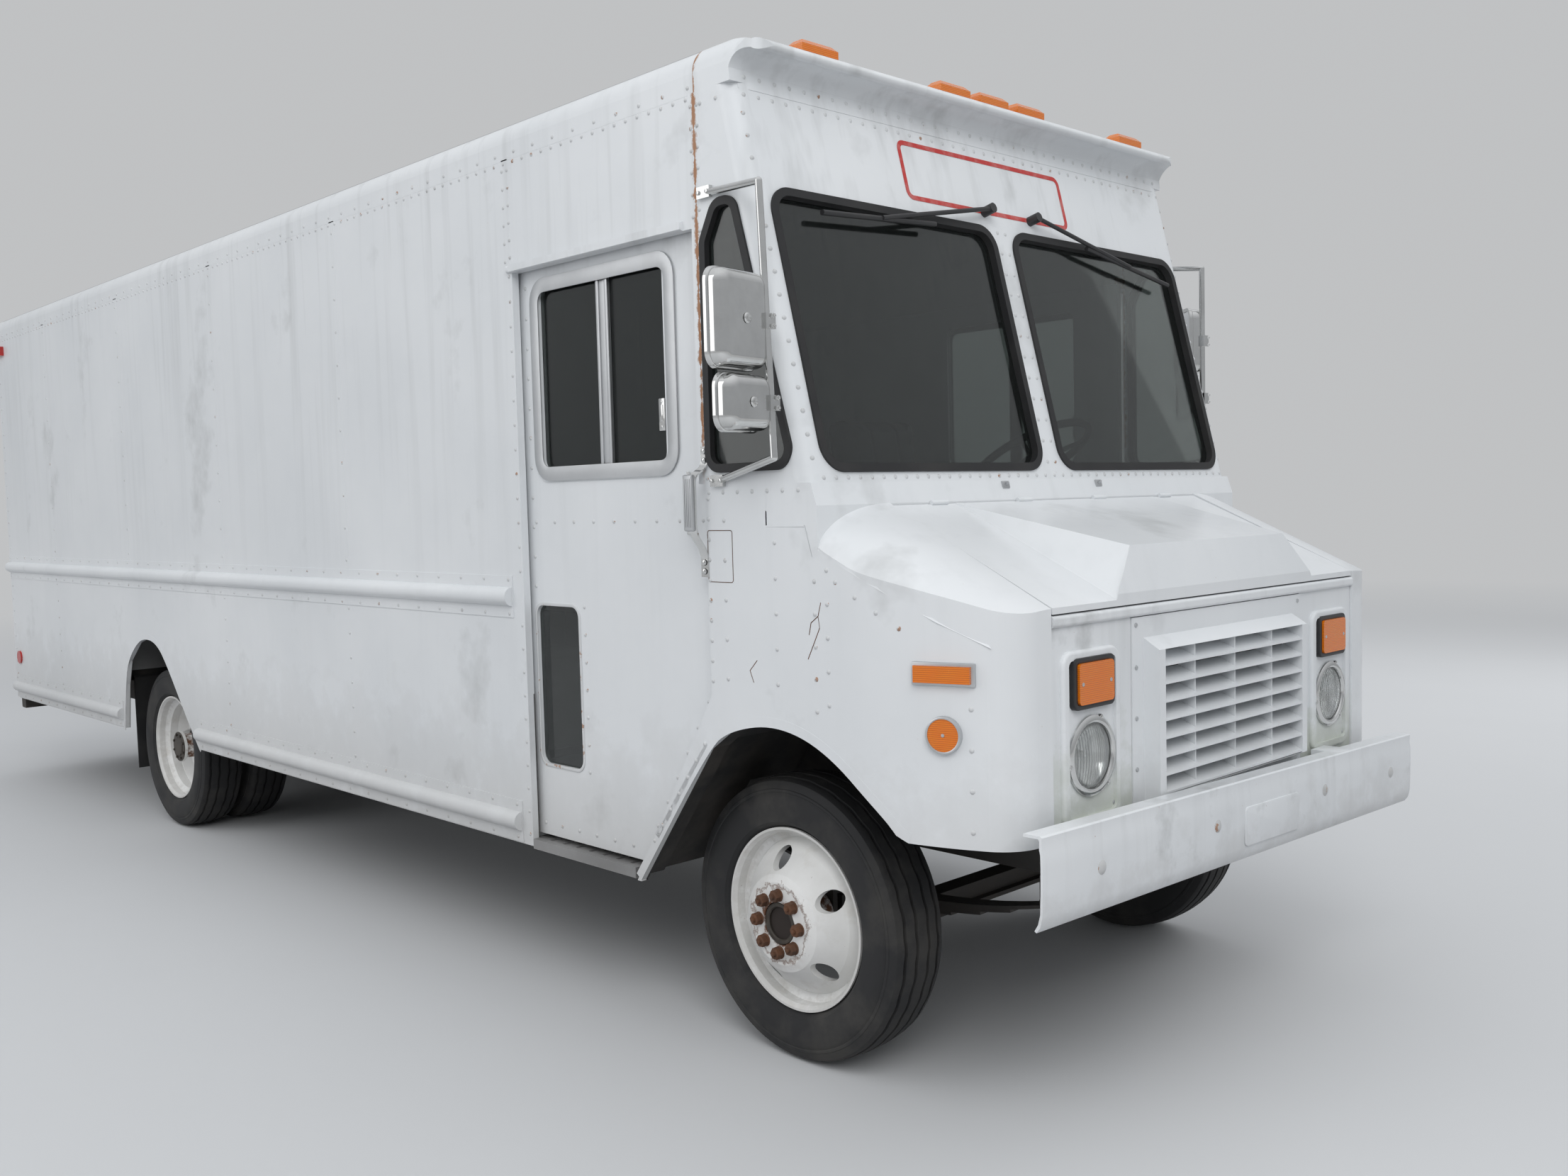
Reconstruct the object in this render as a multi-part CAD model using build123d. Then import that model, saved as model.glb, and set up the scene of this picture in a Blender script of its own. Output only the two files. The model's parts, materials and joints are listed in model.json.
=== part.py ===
from build123d import *
import math
import os

os.makedirs("parts", exist_ok=True)

# Driving dimensions in mm: x across (left side +), y rearwards from the front axle, z up from the road
HALF_WIDTH = 1083
WHEELBASE = 4521
BODY_REAR = 6905
SKIRT_Z = 482
ROOF_Z = 2865
SEAM_Z = ROOF_Z - 130
WALL = 25
CAB_REAR = 138
FLOOR_TOP = 790
FLOOR_THICKNESS = 30
FIT_GAP = 5
RUN_GAP = 0.3

# The bumpers' outer faces set the overall length, and with it the middle of the vehicle
FRONT_FACE = -962
REAR_FACE = 6992
MIDDLE_Y = (FRONT_FACE + REAR_FACE) / 2

# Windshield plane, from the brow seam down to the cowl seam
BROW_Y = -14
COWL_Z = 1656
COWL_Y = -280
LEAN = (BROW_Y - COWL_Y) / (SEAM_Z - COWL_Z)
CORNER_RADIUS = 55

# Nose: hood back edge, nose front plane, hood heights at both ends
HOOD_BACK_Y = -300
HOOD_BACK_Z = 1590
NOSE_Y = -847
PANEL_Y = -841
HOOD_FRONT_Z = 1334
HOOD_HALF_BACK = HALF_WIDTH - 283
HOOD_HALF_FRONT = HALF_WIDTH - 245
NOSE_BOTTOM = 757

# Doorway of the sliding door and the door behind the skin
DOOR_REAR = 1064
DOOR_TOP = SEAM_Z - 365
DOOR_OUTER = HALF_WIDTH - 37
DOOR_THICKNESS = 28
TRACK_Z = DOOR_TOP + 30
TRACK_INNER = HALF_WIDTH - 73
STEP_Z = 505
STEP_INNER = HALF_WIDTH - 283
STEP_FRONT = 512

# Wheels and tyres, 19.5 inch disc wheels
TYRE_RADIUS = 412.5
TYRE_WIDTH = 216
RIM_RADIUS = 265
RIM_HALF = 90
FRONT_TRACK_HALF = HALF_WIDTH - 256
KINGPIN_X = FRONT_TRACK_HALF - 92
DUAL_OUTER = HALF_WIDTH - 188
DUAL_INNER = DUAL_OUTER - 245
LUG_RADIUS = 82.55
LUG_COUNT = 8
HAND_HOLES = 5
HAND_HOLE_CIRCLE = 178
HAND_HOLE_RADIUS = 31
HAND_HOLE_START = 10

# Ladder frame
RAIL_X = 432
RAIL_DEPTH = 180
RAIL_FLANGE = 66
RAIL_TOP = 722
RAIL_METAL = 9


# Shared forms
def block(x0, x1, y0, y1, z0, z1):
    return Pos((x0 + x1) / 2, (y0 + y1) / 2, (z0 + z1) / 2) * Box(x1 - x0, y1 - y0, z1 - z0)


def outline(points, radius=0):
    if radius:
        return make_face(FilletPolyline(*points, radius=radius, close=True))
    return make_face(Polyline(*points, close=True))


def along_x(face, x0, x1):
    return extrude(Plane.YZ.offset(x0) * face, amount=x1 - x0)


def along_y(face, y0, y1):
    return extrude(Plane.XZ.offset(-y1) * face, amount=y1 - y0)


def along_z(face, z0, z1):
    return extrude(Plane.XY.offset(z0) * face, amount=z1 - z0)


def other_side(shape):
    return mirror(shape, about=Plane.YZ)


def both_sides(shapes):
    return list(shapes) + [other_side(shape) for shape in shapes]


def rod(start, end, radius):
    axis = Vector(*end) - Vector(*start)
    return Solid.make_cylinder(radius, axis.length, Plane(origin=start, z_dir=axis.normalized()))


def bent_rod(points, radius):
    solid = None
    for start, end in zip(points, points[1:]):
        piece = rod(start, end, radius)
        solid = piece if solid is None else solid + piece
    for corner in points[1:-1]:
        solid = solid + Pos(*corner) * Sphere(radius)
    return solid


def screen_y(z):
    return COWL_Y + LEAN * (z - COWL_Z)


# Wheel arch openings in the side view, as (y, z) points
FRONT_ARCH = [
    (484, 300), (484, 474), (153, 912), (60, 975), (-125, 1010),
    (-312, 959), (-505, 811), (-540, 772), (-575, 757), (-575, 300),
]
REAR_ARCH = [
    (-600, 300), (-600, 470), (-438, 630), (-195, 894), (-80, 970), (60, 985),
    (180, 955), (330, 850), (385, 720), (430, 470), (430, 300),
]


def grown(points, amount):
    # Moves each side of a polygon outwards by the amount (inwards where it is negative)
    area = sum(a[0] * b[1] - b[0] * a[1] for a, b in zip(points, points[1:] + points[:1]))
    turn = amount if area > 0 else -amount
    sides = []
    for a, b in zip(points, points[1:] + points[:1]):
        run = Vector(b[0] - a[0], b[1] - a[1]).normalized()
        sides.append((Vector(*a) + Vector(run.Y, -run.X) * turn, run))
    corners = []
    for (a, u), (b, v) in zip(sides[-1:] + sides[:-1], sides):
        cross = u.X * v.Y - u.Y * v.X
        reach = ((b.X - a.X) * v.Y - (b.Y - a.Y) * v.X) / cross
        corners.append((a.X + u.X * reach, a.Y + u.Y * reach))
    return corners


def front_arch(x0, x1, grow=0):
    return along_x(outline(grown(FRONT_ARCH, grow)), x0, x1)


def rear_arch(x0, x1):
    points = [(WHEELBASE + y, z) for y, z in REAR_ARCH]
    return along_x(outline(points), x0, x1)


# Cargo body side wall with the doorway header, the rear arch and the rub rails
BELT_RAIL = (1314, 1128, BODY_REAR)
LOWER_RAILS = [(557, 1120, 3925), (557, 4962, BODY_REAR - 10)]
RAIL_HALF_FLANGE = 70
RAIL_BEAD = 32


def rub_rail(z, y0, y1):
    plate = block(-HALF_WIDTH - 3, -HALF_WIDTH, y0, y1, z - RAIL_HALF_FLANGE, z + RAIL_HALF_FLANGE)
    bead = Pos(-HALF_WIDTH, (y0 + y1) / 2, z) * Rot(90, 0, 0) * Cylinder(RAIL_BEAD, y1 - y0 - 12)
    return plate + (bead & block(-2 * HALF_WIDTH, -HALF_WIDTH, y0, y1, SKIRT_Z, SEAM_Z))


def side_wall():
    wall = block(-HALF_WIDTH, -HALF_WIDTH + WALL, CAB_REAR, BODY_REAR - 40, SKIRT_Z, SEAM_Z)
    doorway = block(-HALF_WIDTH - 9, -HALF_WIDTH + WALL + 9, CAB_REAR - 9, DOOR_REAR, SKIRT_Z - 9, DOOR_TOP)
    wall = wall - doorway
    wall = wall + block(-HALF_WIDTH + WALL, -TRACK_INNER, CAB_REAR, 1900, TRACK_Z, TRACK_Z + 24)
    lip = block(-HALF_WIDTH - 12, -HALF_WIDTH, CAB_REAR + 60, DOOR_REAR + 20, DOOR_TOP, DOOR_TOP + 26)
    wall = wall + fillet(lip.edges().filter_by(Axis.Y).group_by(Axis.X)[0], 10)
    wall = wall + rub_rail(*BELT_RAIL)
    for z, y0, y1 in LOWER_RAILS:
        wall = wall + rub_rail(z, y0, y1)
    return wall - rear_arch(-HALF_WIDTH - 60, -HALF_WIDTH + WALL + 9)


# Roof with its rolled side rails
ROOF_RAIL_RADIUS = 78


def roof_section(inset):
    side = HALF_WIDTH - inset
    radius = ROOF_RAIL_RADIUS - inset
    edge_z = ROOF_Z - inset
    right = Line((-side, SEAM_Z), (-side, edge_z - radius))
    right_arc = JernArc(right @ 1, (0, 1), radius, -85)
    left = Line((side, edge_z - radius), (side, SEAM_Z))
    left_arc = JernArc(left @ 0, (0, 1), radius, 85)
    crown = ThreePointArc(right_arc @ 1, (0, edge_z + 18), left_arc @ 1)
    base = Line(left @ 1, right @ 0)
    return make_face([right, right_arc, crown, left_arc, left, base])


def roof():
    shell = along_y(roof_section(0), CAB_REAR, BODY_REAR - 40)
    return shell - along_y(roof_section(WALL), CAB_REAR - 9, BODY_REAR + 9)


# Brow: the roof's rounded front cap with its overhanging nose
BROW_NOSE = -98
BROW_PLAN_RADIUS = 88


def brow():
    seam = Line((CAB_REAR, SEAM_Z), (BROW_Y, SEAM_Z))
    flange = Line((BROW_Y, SEAM_Z), (BROW_Y + 4, SEAM_Z + 34))
    hollow = ThreePointArc(flange @ 1, (-32, SEAM_Z + 64), (-72, SEAM_Z + 76))
    nose = ThreePointArc(hollow @ 1, (BROW_NOSE, SEAM_Z + 87), (-74, SEAM_Z + 98))
    top = ThreePointArc(nose @ 1, (24, ROOF_Z - 7), (CAB_REAR, ROOF_Z + 18))
    back = Line(top @ 1, seam @ 0)
    cap = along_x(make_face([seam, flange, hollow, nose, top, back]), -HALF_WIDTH, HALF_WIDTH)
    cap = cap & along_y(roof_section(0), BROW_NOSE - 20, CAB_REAR)
    plan = Rectangle(2 * HALF_WIDTH, 800)
    plan = fillet(plan.vertices().group_by(Axis.Y)[0], BROW_PLAN_RADIUS)
    cap = cap & along_z(Pos(0, BROW_NOSE + 400) * plan, SEAM_Z, ROOF_Z + 50)
    inside = along_y(roof_section(2 * WALL), BROW_Y + 35, CAB_REAR + 9)
    return cap - inside


# Upper cab: leaning windshield frame with quarter windows behind it
PANE_TOP = SEAM_Z - 280
PANE_BOTTOM = 1682
PANE_OUTER = HALF_WIDTH - 57
POST_HALF = 42
PANE_RADIUS = 78
GASKET = 24
SCREEN_DEPTH = 36
QUARTER_TOP = SEAM_Z - 299
QUARTER = [(125, 1692), (125, QUARTER_TOP - 106), (66, QUARTER_TOP), (-24, QUARTER_TOP), (-234, 1692)]
QUARTER_RADIUS = 56


def screen_plane():
    return Plane(origin=(0, COWL_Y, COWL_Z), x_dir=(1, 0, 0), z_dir=(0, -1, LEAN))


def pane_face(inset):
    stretch = math.hypot(1, LEAN)
    v0 = (PANE_BOTTOM - COWL_Z) * stretch + inset
    v1 = (PANE_TOP - COWL_Z) * stretch - inset
    u0 = POST_HALF + inset
    u1 = PANE_OUTER - inset
    face = Pos((u0 + u1) / 2, (v0 + v1) / 2) * Rectangle(u1 - u0, v1 - v0)
    return fillet(face.vertices(), PANE_RADIUS - inset)


def pane_solid(inset, behind, ahead):
    right = screen_plane().offset(-behind) * pane_face(inset)
    solid = extrude(right, amount=behind + ahead)
    return [solid, other_side(solid)]


def quarter_solid(inset, x0, x1):
    solid = along_x(outline(grown(QUARTER, -inset), QUARTER_RADIUS - inset), x0, x1)
    return [solid, other_side(solid)]


def cab_upper():
    side = [(CAB_REAR, COWL_Z), (COWL_Y, COWL_Z), (BROW_Y, SEAM_Z), (CAB_REAR, SEAM_Z)]
    shell = along_x(outline(side), -HALF_WIDTH, HALF_WIDTH)
    slant = math.hypot(SEAM_Z - COWL_Z, BROW_Y - COWL_Y)
    leaning = shell.edges().filter_by(lambda edge: abs(edge.length - slant) < 1)
    shell = fillet(leaning, CORNER_RADIUS)
    low = COWL_Z - 9
    high = SEAM_Z + 9
    inner_side = [
        (CAB_REAR + 9, low), (screen_y(low) + SCREEN_DEPTH, low),
        (screen_y(high) + SCREEN_DEPTH, high), (CAB_REAR + 9, high),
    ]
    inner = along_x(outline(inner_side), -HALF_WIDTH + WALL, HALF_WIDTH - WALL)
    shell = shell - inner
    for hole in pane_solid(0, 80, 30) + quarter_solid(0, -HALF_WIDTH - 20, -HALF_WIDTH + WALL + 20):
        shell = shell - hole
    return shell


GLASS_THICKNESS = 6


def cab_glass():
    side = -HALF_WIDTH + 10
    quarters = quarter_solid(GASKET - 8, side, side + GLASS_THICKNESS)
    return pane_solid(GASKET - 8, 16 + GLASS_THICKNESS, -16) + quarters


def window_gaskets():
    quarters = quarter_solid(RUN_GAP, -HALF_WIDTH - 7, -HALF_WIDTH + 22)
    quarter_holes = quarter_solid(GASKET, -HALF_WIDTH - 20, -HALF_WIDTH + 40)
    wholes = pane_solid(RUN_GAP, 30, 7) + quarters
    holes = pane_solid(GASKET, 40, 20) + quarter_holes
    rings = []
    for whole, hole, pane in zip(wholes, holes, cab_glass()):
        rings.append(whole - hole - pane)
    return rings


# Lower cab: side skins with the front wheel housings, the firewall and the cowl
HOUSING_INNER = FRONT_TRACK_HALF - 237
HOUSING_STEP = HALF_WIDTH - 81
HOUSING_SHEET = 10
HOUSING_ROOM = 20
COVER_HALF = 320
FIREWALL_BOTTOM = 760


def cab_side_lower():
    points = [(133, COWL_Z), (133, 1069), (503, 470), (503, 300), (HOOD_BACK_Y, 300), (HOOD_BACK_Y, COWL_Z)]
    skin = along_x(outline(points), -HALF_WIDTH, -HALF_WIDTH + WALL)
    skin = skin & block(-2000, 0, HOOD_BACK_Y, 600, SKIRT_Z - 12, COWL_Z)
    return skin - front_arch(-HALF_WIDTH - 9, -HALF_WIDTH + WALL + 9)


def housing_hollow():
    # The tyre swings rearwards as it steers, so the housing is roomier inboard of the door
    outer = front_arch(-HALF_WIDTH, -HOUSING_STEP, 2)
    return outer + front_arch(-HOUSING_STEP, -HOUSING_INNER - HOUSING_SHEET, HOUSING_ROOM)


def housing():
    web = -HOUSING_STEP - HOUSING_SHEET
    outer = front_arch(-HALF_WIDTH + WALL, web, 2 + HOUSING_SHEET)
    inner = front_arch(web, -HOUSING_INNER, HOUSING_ROOM + HOUSING_SHEET)
    liner = outer + inner - housing_hollow()
    step_side = liner & block(-1200, -STEP_INNER, 250, 640, SKIRT_Z + 8, FLOOR_TOP)
    above = liner & block(-1200, 0, HOOD_BACK_Y, 640, FLOOR_TOP - FLOOR_THICKNESS, COWL_Z)
    return above + step_side


def cab_lower():
    pillar = block(-HALF_WIDTH + WALL, -HALF_WIDTH + 71, 92, 133, 1040, COWL_Z)
    side = cab_side_lower() + pillar + housing()
    inner = HALF_WIDTH - WALL
    back = HOOD_BACK_Y + WALL
    firewall = block(-inner, inner, HOOD_BACK_Y, back, FIREWALL_BOTTOM, HOOD_BACK_Z)
    firewall = firewall - block(-COVER_HALF + 14, COVER_HALF - 14, HOOD_BACK_Y - 9, back + 9, 0, 1314)
    for shape in both_sides([housing_hollow()]):
        firewall = firewall - shape
    lip = HOOD_BACK_Z + 6
    cowl = [
        (HOOD_BACK_Y, HOOD_BACK_Z - 30), (HOOD_BACK_Y, lip), (COWL_Y, COWL_Z),
        (COWL_Y + 40, COWL_Z), (back, HOOD_BACK_Z - 30),
    ]
    cowl = along_x(outline(cowl), -inner, inner)
    ahead = [
        (HOOD_BACK_Y - 9, lip), (HOOD_BACK_Y, lip), (COWL_Y, COWL_Z),
        (COWL_Y, COWL_Z + 9), (HOOD_BACK_Y - 9, COWL_Z + 9),
    ]
    cut = along_x(outline(ahead), -1200, 1200)
    body = firewall + cowl
    for shape in both_sides([side]):
        body = body + shape
    return body - cut


# Fenders: rounded nose sides between the hood and the wheel arches
FENDER_TURN = 24
FENDER_BEND = 925
FENDER_CORNER = 120
FENDER_BEND_Y = -400
FENDER_SHELL = 20
FENDER_DROP_BACK = 132
FENDER_DROP_FRONT = 88


def fender_plan(inset):
    bend = FENDER_BEND - inset
    corner = FENDER_CORNER - inset
    side = Line((-HALF_WIDTH + inset, HOOD_BACK_Y), (-HALF_WIDTH + inset, FENDER_BEND_Y))
    long_arc = JernArc(side @ 1, (0, -1), bend, FENDER_TURN)
    short_arc = JernArc(long_arc @ 1, long_arc % 1, corner, 90 - FENDER_TURN)
    front = Line(short_arc @ 1, (-HOOD_HALF_FRONT, (short_arc @ 1).Y))
    rise = Line(front @ 1, (-HOOD_HALF_BACK, HOOD_BACK_Y))
    close = Line(rise @ 1, side @ 0)
    return make_face([side, long_arc, short_arc, front, rise, close])


def fender_rise(y, half, top, drop, inset):
    plane = Plane(origin=(0, y, 0), x_dir=(1, 0, 0), z_dir=(0, -1, 0))
    wide = HALF_WIDTH + 2 - inset
    crown = EllipticalCenterArc((-half, top - drop), wide - half, drop - inset, 90, arc_size=90)
    outer = Line(crown @ 1, (-wide, 400))
    base = Line(outer @ 1, (-half + 120, 400))
    inner = Line(base @ 1, (-half + 120, top - inset))
    top_line = Line(inner @ 1, crown @ 0)
    return plane * make_face([crown, outer, base, inner, top_line])


def fender_form(inset):
    back = fender_rise(HOOD_BACK_Y + 1, HOOD_HALF_BACK, HOOD_BACK_Z + 8, FENDER_DROP_BACK, inset)
    front = fender_rise(NOSE_Y - 10, HOOD_HALF_FRONT, HOOD_FRONT_Z - 6, FENDER_DROP_FRONT, inset)
    rise = loft([back, front], ruled=True)
    return rise & along_z(fender_plan(inset), 400, 1700)


def fender():
    shell = fender_form(0) - fender_form(FENDER_SHELL)
    shell = shell & block(-1200, 0, NOSE_Y - 5, HOOD_BACK_Y, NOSE_BOTTOM, 1700)
    return shell - front_arch(-HALF_WIDTH - 9, -HOOD_HALF_BACK + 20)


# Hood: sloping lid with a raised centre that grows towards the front
BULGE_BACK = 528
BULGE_BASE = 560
BULGE_TOP = 430
BULGE_TOP_Y = -812
BULGE_TOP_Z = 1470
BULGE_FOOT_Z = 1349
HOOD_THICKNESS = 16
HOOD_BARREL = 7
HOOD_HINGE_Y = HOOD_BACK_Y - HOOD_BARREL - RUN_GAP
HOOD_HINGE_Z = HOOD_BACK_Z + 4


def hood_section(y, base_half, top_half, base_z, top_z):
    points = [(-base_half, base_z), (base_half, base_z), (top_half, top_z), (-top_half, top_z)]
    plane = Plane(origin=(0, y, 0), x_dir=(1, 0, 0), z_dir=(0, -1, 0))
    return plane * outline(points)


def hood_form(drop, inset, depth):
    slope = (HOOD_BACK_Z - HOOD_FRONT_Z) / (HOOD_BACK_Y - NOSE_Y)
    front_y = NOSE_Y + inset
    back_y = HOOD_BACK_Y - FIT_GAP
    low = depth + drop
    edge_back = HOOD_HALF_BACK - FIT_GAP - inset
    edge_front = HOOD_HALF_FRONT - FIT_GAP - inset
    shelf = loft([
        hood_section(back_y, edge_back, edge_back, HOOD_BACK_Z - low, HOOD_BACK_Z - drop),
        hood_section(front_y, edge_front, edge_front, HOOD_FRONT_Z - low, HOOD_FRONT_Z - drop),
    ], ruled=True)
    middle_z = HOOD_BACK_Z - slope * (HOOD_BACK_Y - BULGE_TOP_Y)
    bulge = loft([
        hood_section(back_y, BULGE_BACK - inset, BULGE_BACK - inset, HOOD_BACK_Z - low, HOOD_BACK_Z - drop + 1),
        hood_section(BULGE_TOP_Y + inset, BULGE_BASE - inset, BULGE_TOP - inset, middle_z - low, BULGE_TOP_Z - drop),
        hood_section(front_y, BULGE_BASE - inset, BULGE_BASE - 20 - inset, HOOD_FRONT_Z - low, BULGE_FOOT_Z - drop),
    ], ruled=True)
    return shelf + bulge


def hood():
    lid = hood_form(0, 0, HOOD_THICKNESS) - hood_form(HOOD_THICKNESS, HOOD_THICKNESS, 60)
    for x in (-600, -200, 200, 600):
        lid = lid + Pos(x, HOOD_HINGE_Y, HOOD_HINGE_Z) * Rot(0, 90, 0) * Cylinder(HOOD_BARREL, 70)
    return lid


# Front panel with lamp bezels and the trim bar, and the louvred grille door in its middle
LAMP_X = HOOD_HALF_FRONT - 166
LAMP_Z = 950
LAMP_RADIUS = 89
SIGNAL_Z = 1138
BEZEL_HALF = 128
BEZEL_BOTTOM = 776
BEZEL_TOP = 1222
GRILLE_HALF = 476
GRILLE_BOTTOM = 748
GRILLE_TOP = 1282
LOUVRE_HALF = 392
LOUVRE_BOTTOM = 806
LOUVRE_TOP = 1196
LOUVRE_COUNT = 8
LOUVRE_DEPTH = 46
TRIM_BOTTOM = 1284
TRIM_TOP = 1314


def front_panel():
    half = HOOD_HALF_FRONT - 2.1
    panel = block(-half, half, PANEL_Y, PANEL_Y + 20, NOSE_BOTTOM - 14, TRIM_BOTTOM)
    opening = GRILLE_HALF + 2
    low = GRILLE_BOTTOM - RUN_GAP
    panel = panel - block(-opening, opening, PANEL_Y - 9, PANEL_Y + 29, low, TRIM_BOTTOM + 9)
    trim = block(-half, half, PANEL_Y - 12, PANEL_Y + 20, TRIM_BOTTOM, TRIM_TOP)
    trim = fillet(trim.edges().filter_by(Axis.X).group_by(Axis.Y)[0], 10)
    panel = panel + trim
    for side in (-1, 1):
        bezel = Rectangle(2 * BEZEL_HALF, BEZEL_TOP - BEZEL_BOTTOM)
        bezel = fillet(bezel.vertices(), 40)
        frame = along_y(Pos(side * LAMP_X, (BEZEL_TOP + BEZEL_BOTTOM) / 2) * bezel, PANEL_Y - 13, PANEL_Y)
        frame = fillet(frame.faces().sort_by(Axis.Y)[0].edges(), 9)
        inner = offset(bezel, amount=-24)
        dish = along_y(Pos(side * LAMP_X, (BEZEL_TOP + BEZEL_BOTTOM) / 2) * inner, PANEL_Y - 20, PANEL_Y - 3)
        panel = panel + (frame - dish)
        bucket = Pos(side * LAMP_X, PANEL_Y, LAMP_Z) * Rot(90, 0, 0) * Cylinder(LAMP_RADIUS + 4, 60)
        panel = panel - bucket
        ring = Cylinder(LAMP_RADIUS + 13, 16) - Cylinder(LAMP_RADIUS + RUN_GAP, 20)
        panel = panel + Pos(side * LAMP_X, PANEL_Y + 2, LAMP_Z) * Rot(90, 0, 0) * ring
    return panel


def grille():
    door = block(-GRILLE_HALF, GRILLE_HALF, PANEL_Y - 4, PANEL_Y + 14, GRILLE_BOTTOM, GRILLE_TOP)
    face_y = PANEL_Y - LOUVRE_DEPTH - 6
    hood_points = [
        (PANEL_Y - 4, LOUVRE_TOP + 30), (face_y, LOUVRE_TOP),
        (face_y, LOUVRE_BOTTOM), (PANEL_Y - 4, LOUVRE_BOTTOM - 24),
    ]
    surround = along_x(outline(hood_points), -LOUVRE_HALF - 30, LOUVRE_HALF + 30)
    opening = block(-LOUVRE_HALF, LOUVRE_HALF, PANEL_Y - 200, PANEL_Y + 60, LOUVRE_BOTTOM, LOUVRE_TOP)
    panel = (door + surround) - opening
    pitch = (LOUVRE_TOP - LOUVRE_BOTTOM) / LOUVRE_COUNT
    for row in range(LOUVRE_COUNT):
        z = LOUVRE_TOP - (row + 1) * pitch
        blade = [(face_y + 2, z + 3), (face_y + 2, z + 9), (PANEL_Y + 10, z + 35), (PANEL_Y + 10, z + 29)]
        panel = panel + along_x(outline(blade), -LOUVRE_HALF - 2, LOUVRE_HALF + 2)
    for x in (-220, 0, 220):
        panel = panel + block(x - 2, x + 2, PANEL_Y - LOUVRE_DEPTH + 6, PANEL_Y + 10, LOUVRE_BOTTOM - 1, LOUVRE_TOP + 1)
    return panel


# Lamps
def headlights():
    lens = Sphere(190)
    lens = lens & (Pos(0, -190, 0) * Box(400, 70, 400))
    lens = lens & (Rot(90, 0, 0) * Cylinder(LAMP_RADIUS, 400))
    lens = Pos(0, 188, 0) * lens
    return [Pos(side * LAMP_X, PANEL_Y - 12, LAMP_Z) * lens for side in (-1, 1)]


MARKER_OUTER = HALF_WIDTH - 293
MARKER_X = [-MARKER_OUTER, -195, 0, 195, MARKER_OUTER]
SIDE_LAMP_REACH = 275


def amber_lamps():
    lamps = []
    for side in (-1, 1):
        signal = block(side * LAMP_X - 77, side * LAMP_X + 77, PANEL_Y - 26, PANEL_Y - 3, SIGNAL_Z - 52, SIGNAL_Z + 52)
        lamps.append(fillet(signal.edges().filter_by(Axis.Y), 12))
    turn = math.degrees(math.asin(SIDE_LAMP_REACH / FENDER_BEND))
    x = -HALF_WIDTH + FENDER_BEND * (1 - math.cos(math.radians(turn)))
    y = FENDER_BEND_Y - SIDE_LAMP_REACH
    for z, form in ((1183, Box(34, 147, 42)), (1035, Rot(0, 90, 0) * Cylinder(41, 22))):
        lamp = Pos(x, y, z) * Rot(0, 0, turn) * form
        lamps.append(lamp - fender_form(-0.2))
    lamps += [other_side(lamp) for lamp in lamps[2:4]]
    cap = brow()
    for x in MARKER_X:
        base = block(x - 72, x + 72, -70, -8, ROOF_Z - 38, ROOF_Z + 14)
        lamp = chamfer(base.edges().group_by(Axis.Z)[-1], 14)
        lamps.append(lamp - cap)
    return lamps


REAR_LAMP_X = HALF_WIDTH - 203
REAR_LAMPS = [(x, z, 55) for x in (-REAR_LAMP_X, REAR_LAMP_X) for z in (560, 700)]


def red_lamps():
    lamps = []
    for x, z, radius in REAR_LAMPS:
        lamps.append(Pos(x, BODY_REAR + 9, z) * Rot(90, 0, 0) * Cylinder(radius, 18))
    for x in MARKER_X:
        lamps.append(block(x - 50, x + 50, BODY_REAR, BODY_REAR + 24, SEAM_Z + 35, SEAM_Z + 70))
    for side in (-1, 1):
        x = side * (HALF_WIDTH + 11)
        lamps.append(block(x - 11, x + 11, BODY_REAR - 145, BODY_REAR - 45, SEAM_Z - 105, SEAM_Z - 50))
        lamps.append(Pos(side * (HALF_WIDTH + 5), BODY_REAR - 105, 745) * Rot(0, 90, 0) * Cylinder(40, 10))
    return lamps


# Front bumper with its bracket boxes, and the rear step bumper
BUMPER_HALF = HALF_WIDTH - 41
BUMPER_BOTTOM = 578
BUMPER_TOP = 804
BUMPER_TILT = 1.35


def front_bumper():
    y0 = FRONT_FACE
    section = [
        (y0 + 60, BUMPER_TOP), (y0 + 8, BUMPER_TOP), (y0 + 8, BUMPER_TOP - 34), (y0, BUMPER_TOP - 46),
        (y0, BUMPER_BOTTOM + 34), (y0 + 14, BUMPER_BOTTOM), (y0 + 26, BUMPER_BOTTOM), (y0 + 12, BUMPER_BOTTOM + 38),
        (y0 + 12, BUMPER_TOP - 48), (y0 + 18, BUMPER_TOP - 40), (y0 + 18, BUMPER_TOP - 10), (y0 + 60, BUMPER_TOP - 10),
    ]
    # The bar hangs a little lower at its left end
    middle_z = (BUMPER_BOTTOM + BUMPER_TOP) / 2
    bar = Pos(0, 0, -middle_z) * along_x(outline(section), -BUMPER_HALF, BUMPER_HALF)
    shape = Pos(0, 0, middle_z) * Rot(0, BUMPER_TILT, 0) * bar
    for side in (-1, 1):
        shape = shape + block(side * RAIL_X - 40, side * RAIL_X + 40, y0 + 10, FRAME_FRONT, 640, 700)
        shape = shape + block(side * 570 - 45, side * 570 + 45, y0 + 16, PANEL_Y - 14, 742, 792)
    return shape


def rear_bumper():
    half = HALF_WIDTH - 43
    bar = block(-half, half, BODY_REAR + 6, REAR_FACE, 405, 497)
    bar = fillet(bar.edges().filter_by(Axis.X).group_by(Axis.Y)[-1], 14)
    for side in (-1, 1):
        near = side * RAIL_X - 40
        far = side * RAIL_X + 40
        bar = bar + block(near, far, FRAME_REAR - 260, FRAME_REAR, 420, RAIL_TOP - RAIL_DEPTH)
        bar = bar + block(near, far, FRAME_REAR - 260, BODY_REAR + 20, 420, SKIRT_Z + 10)
    return bar


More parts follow.
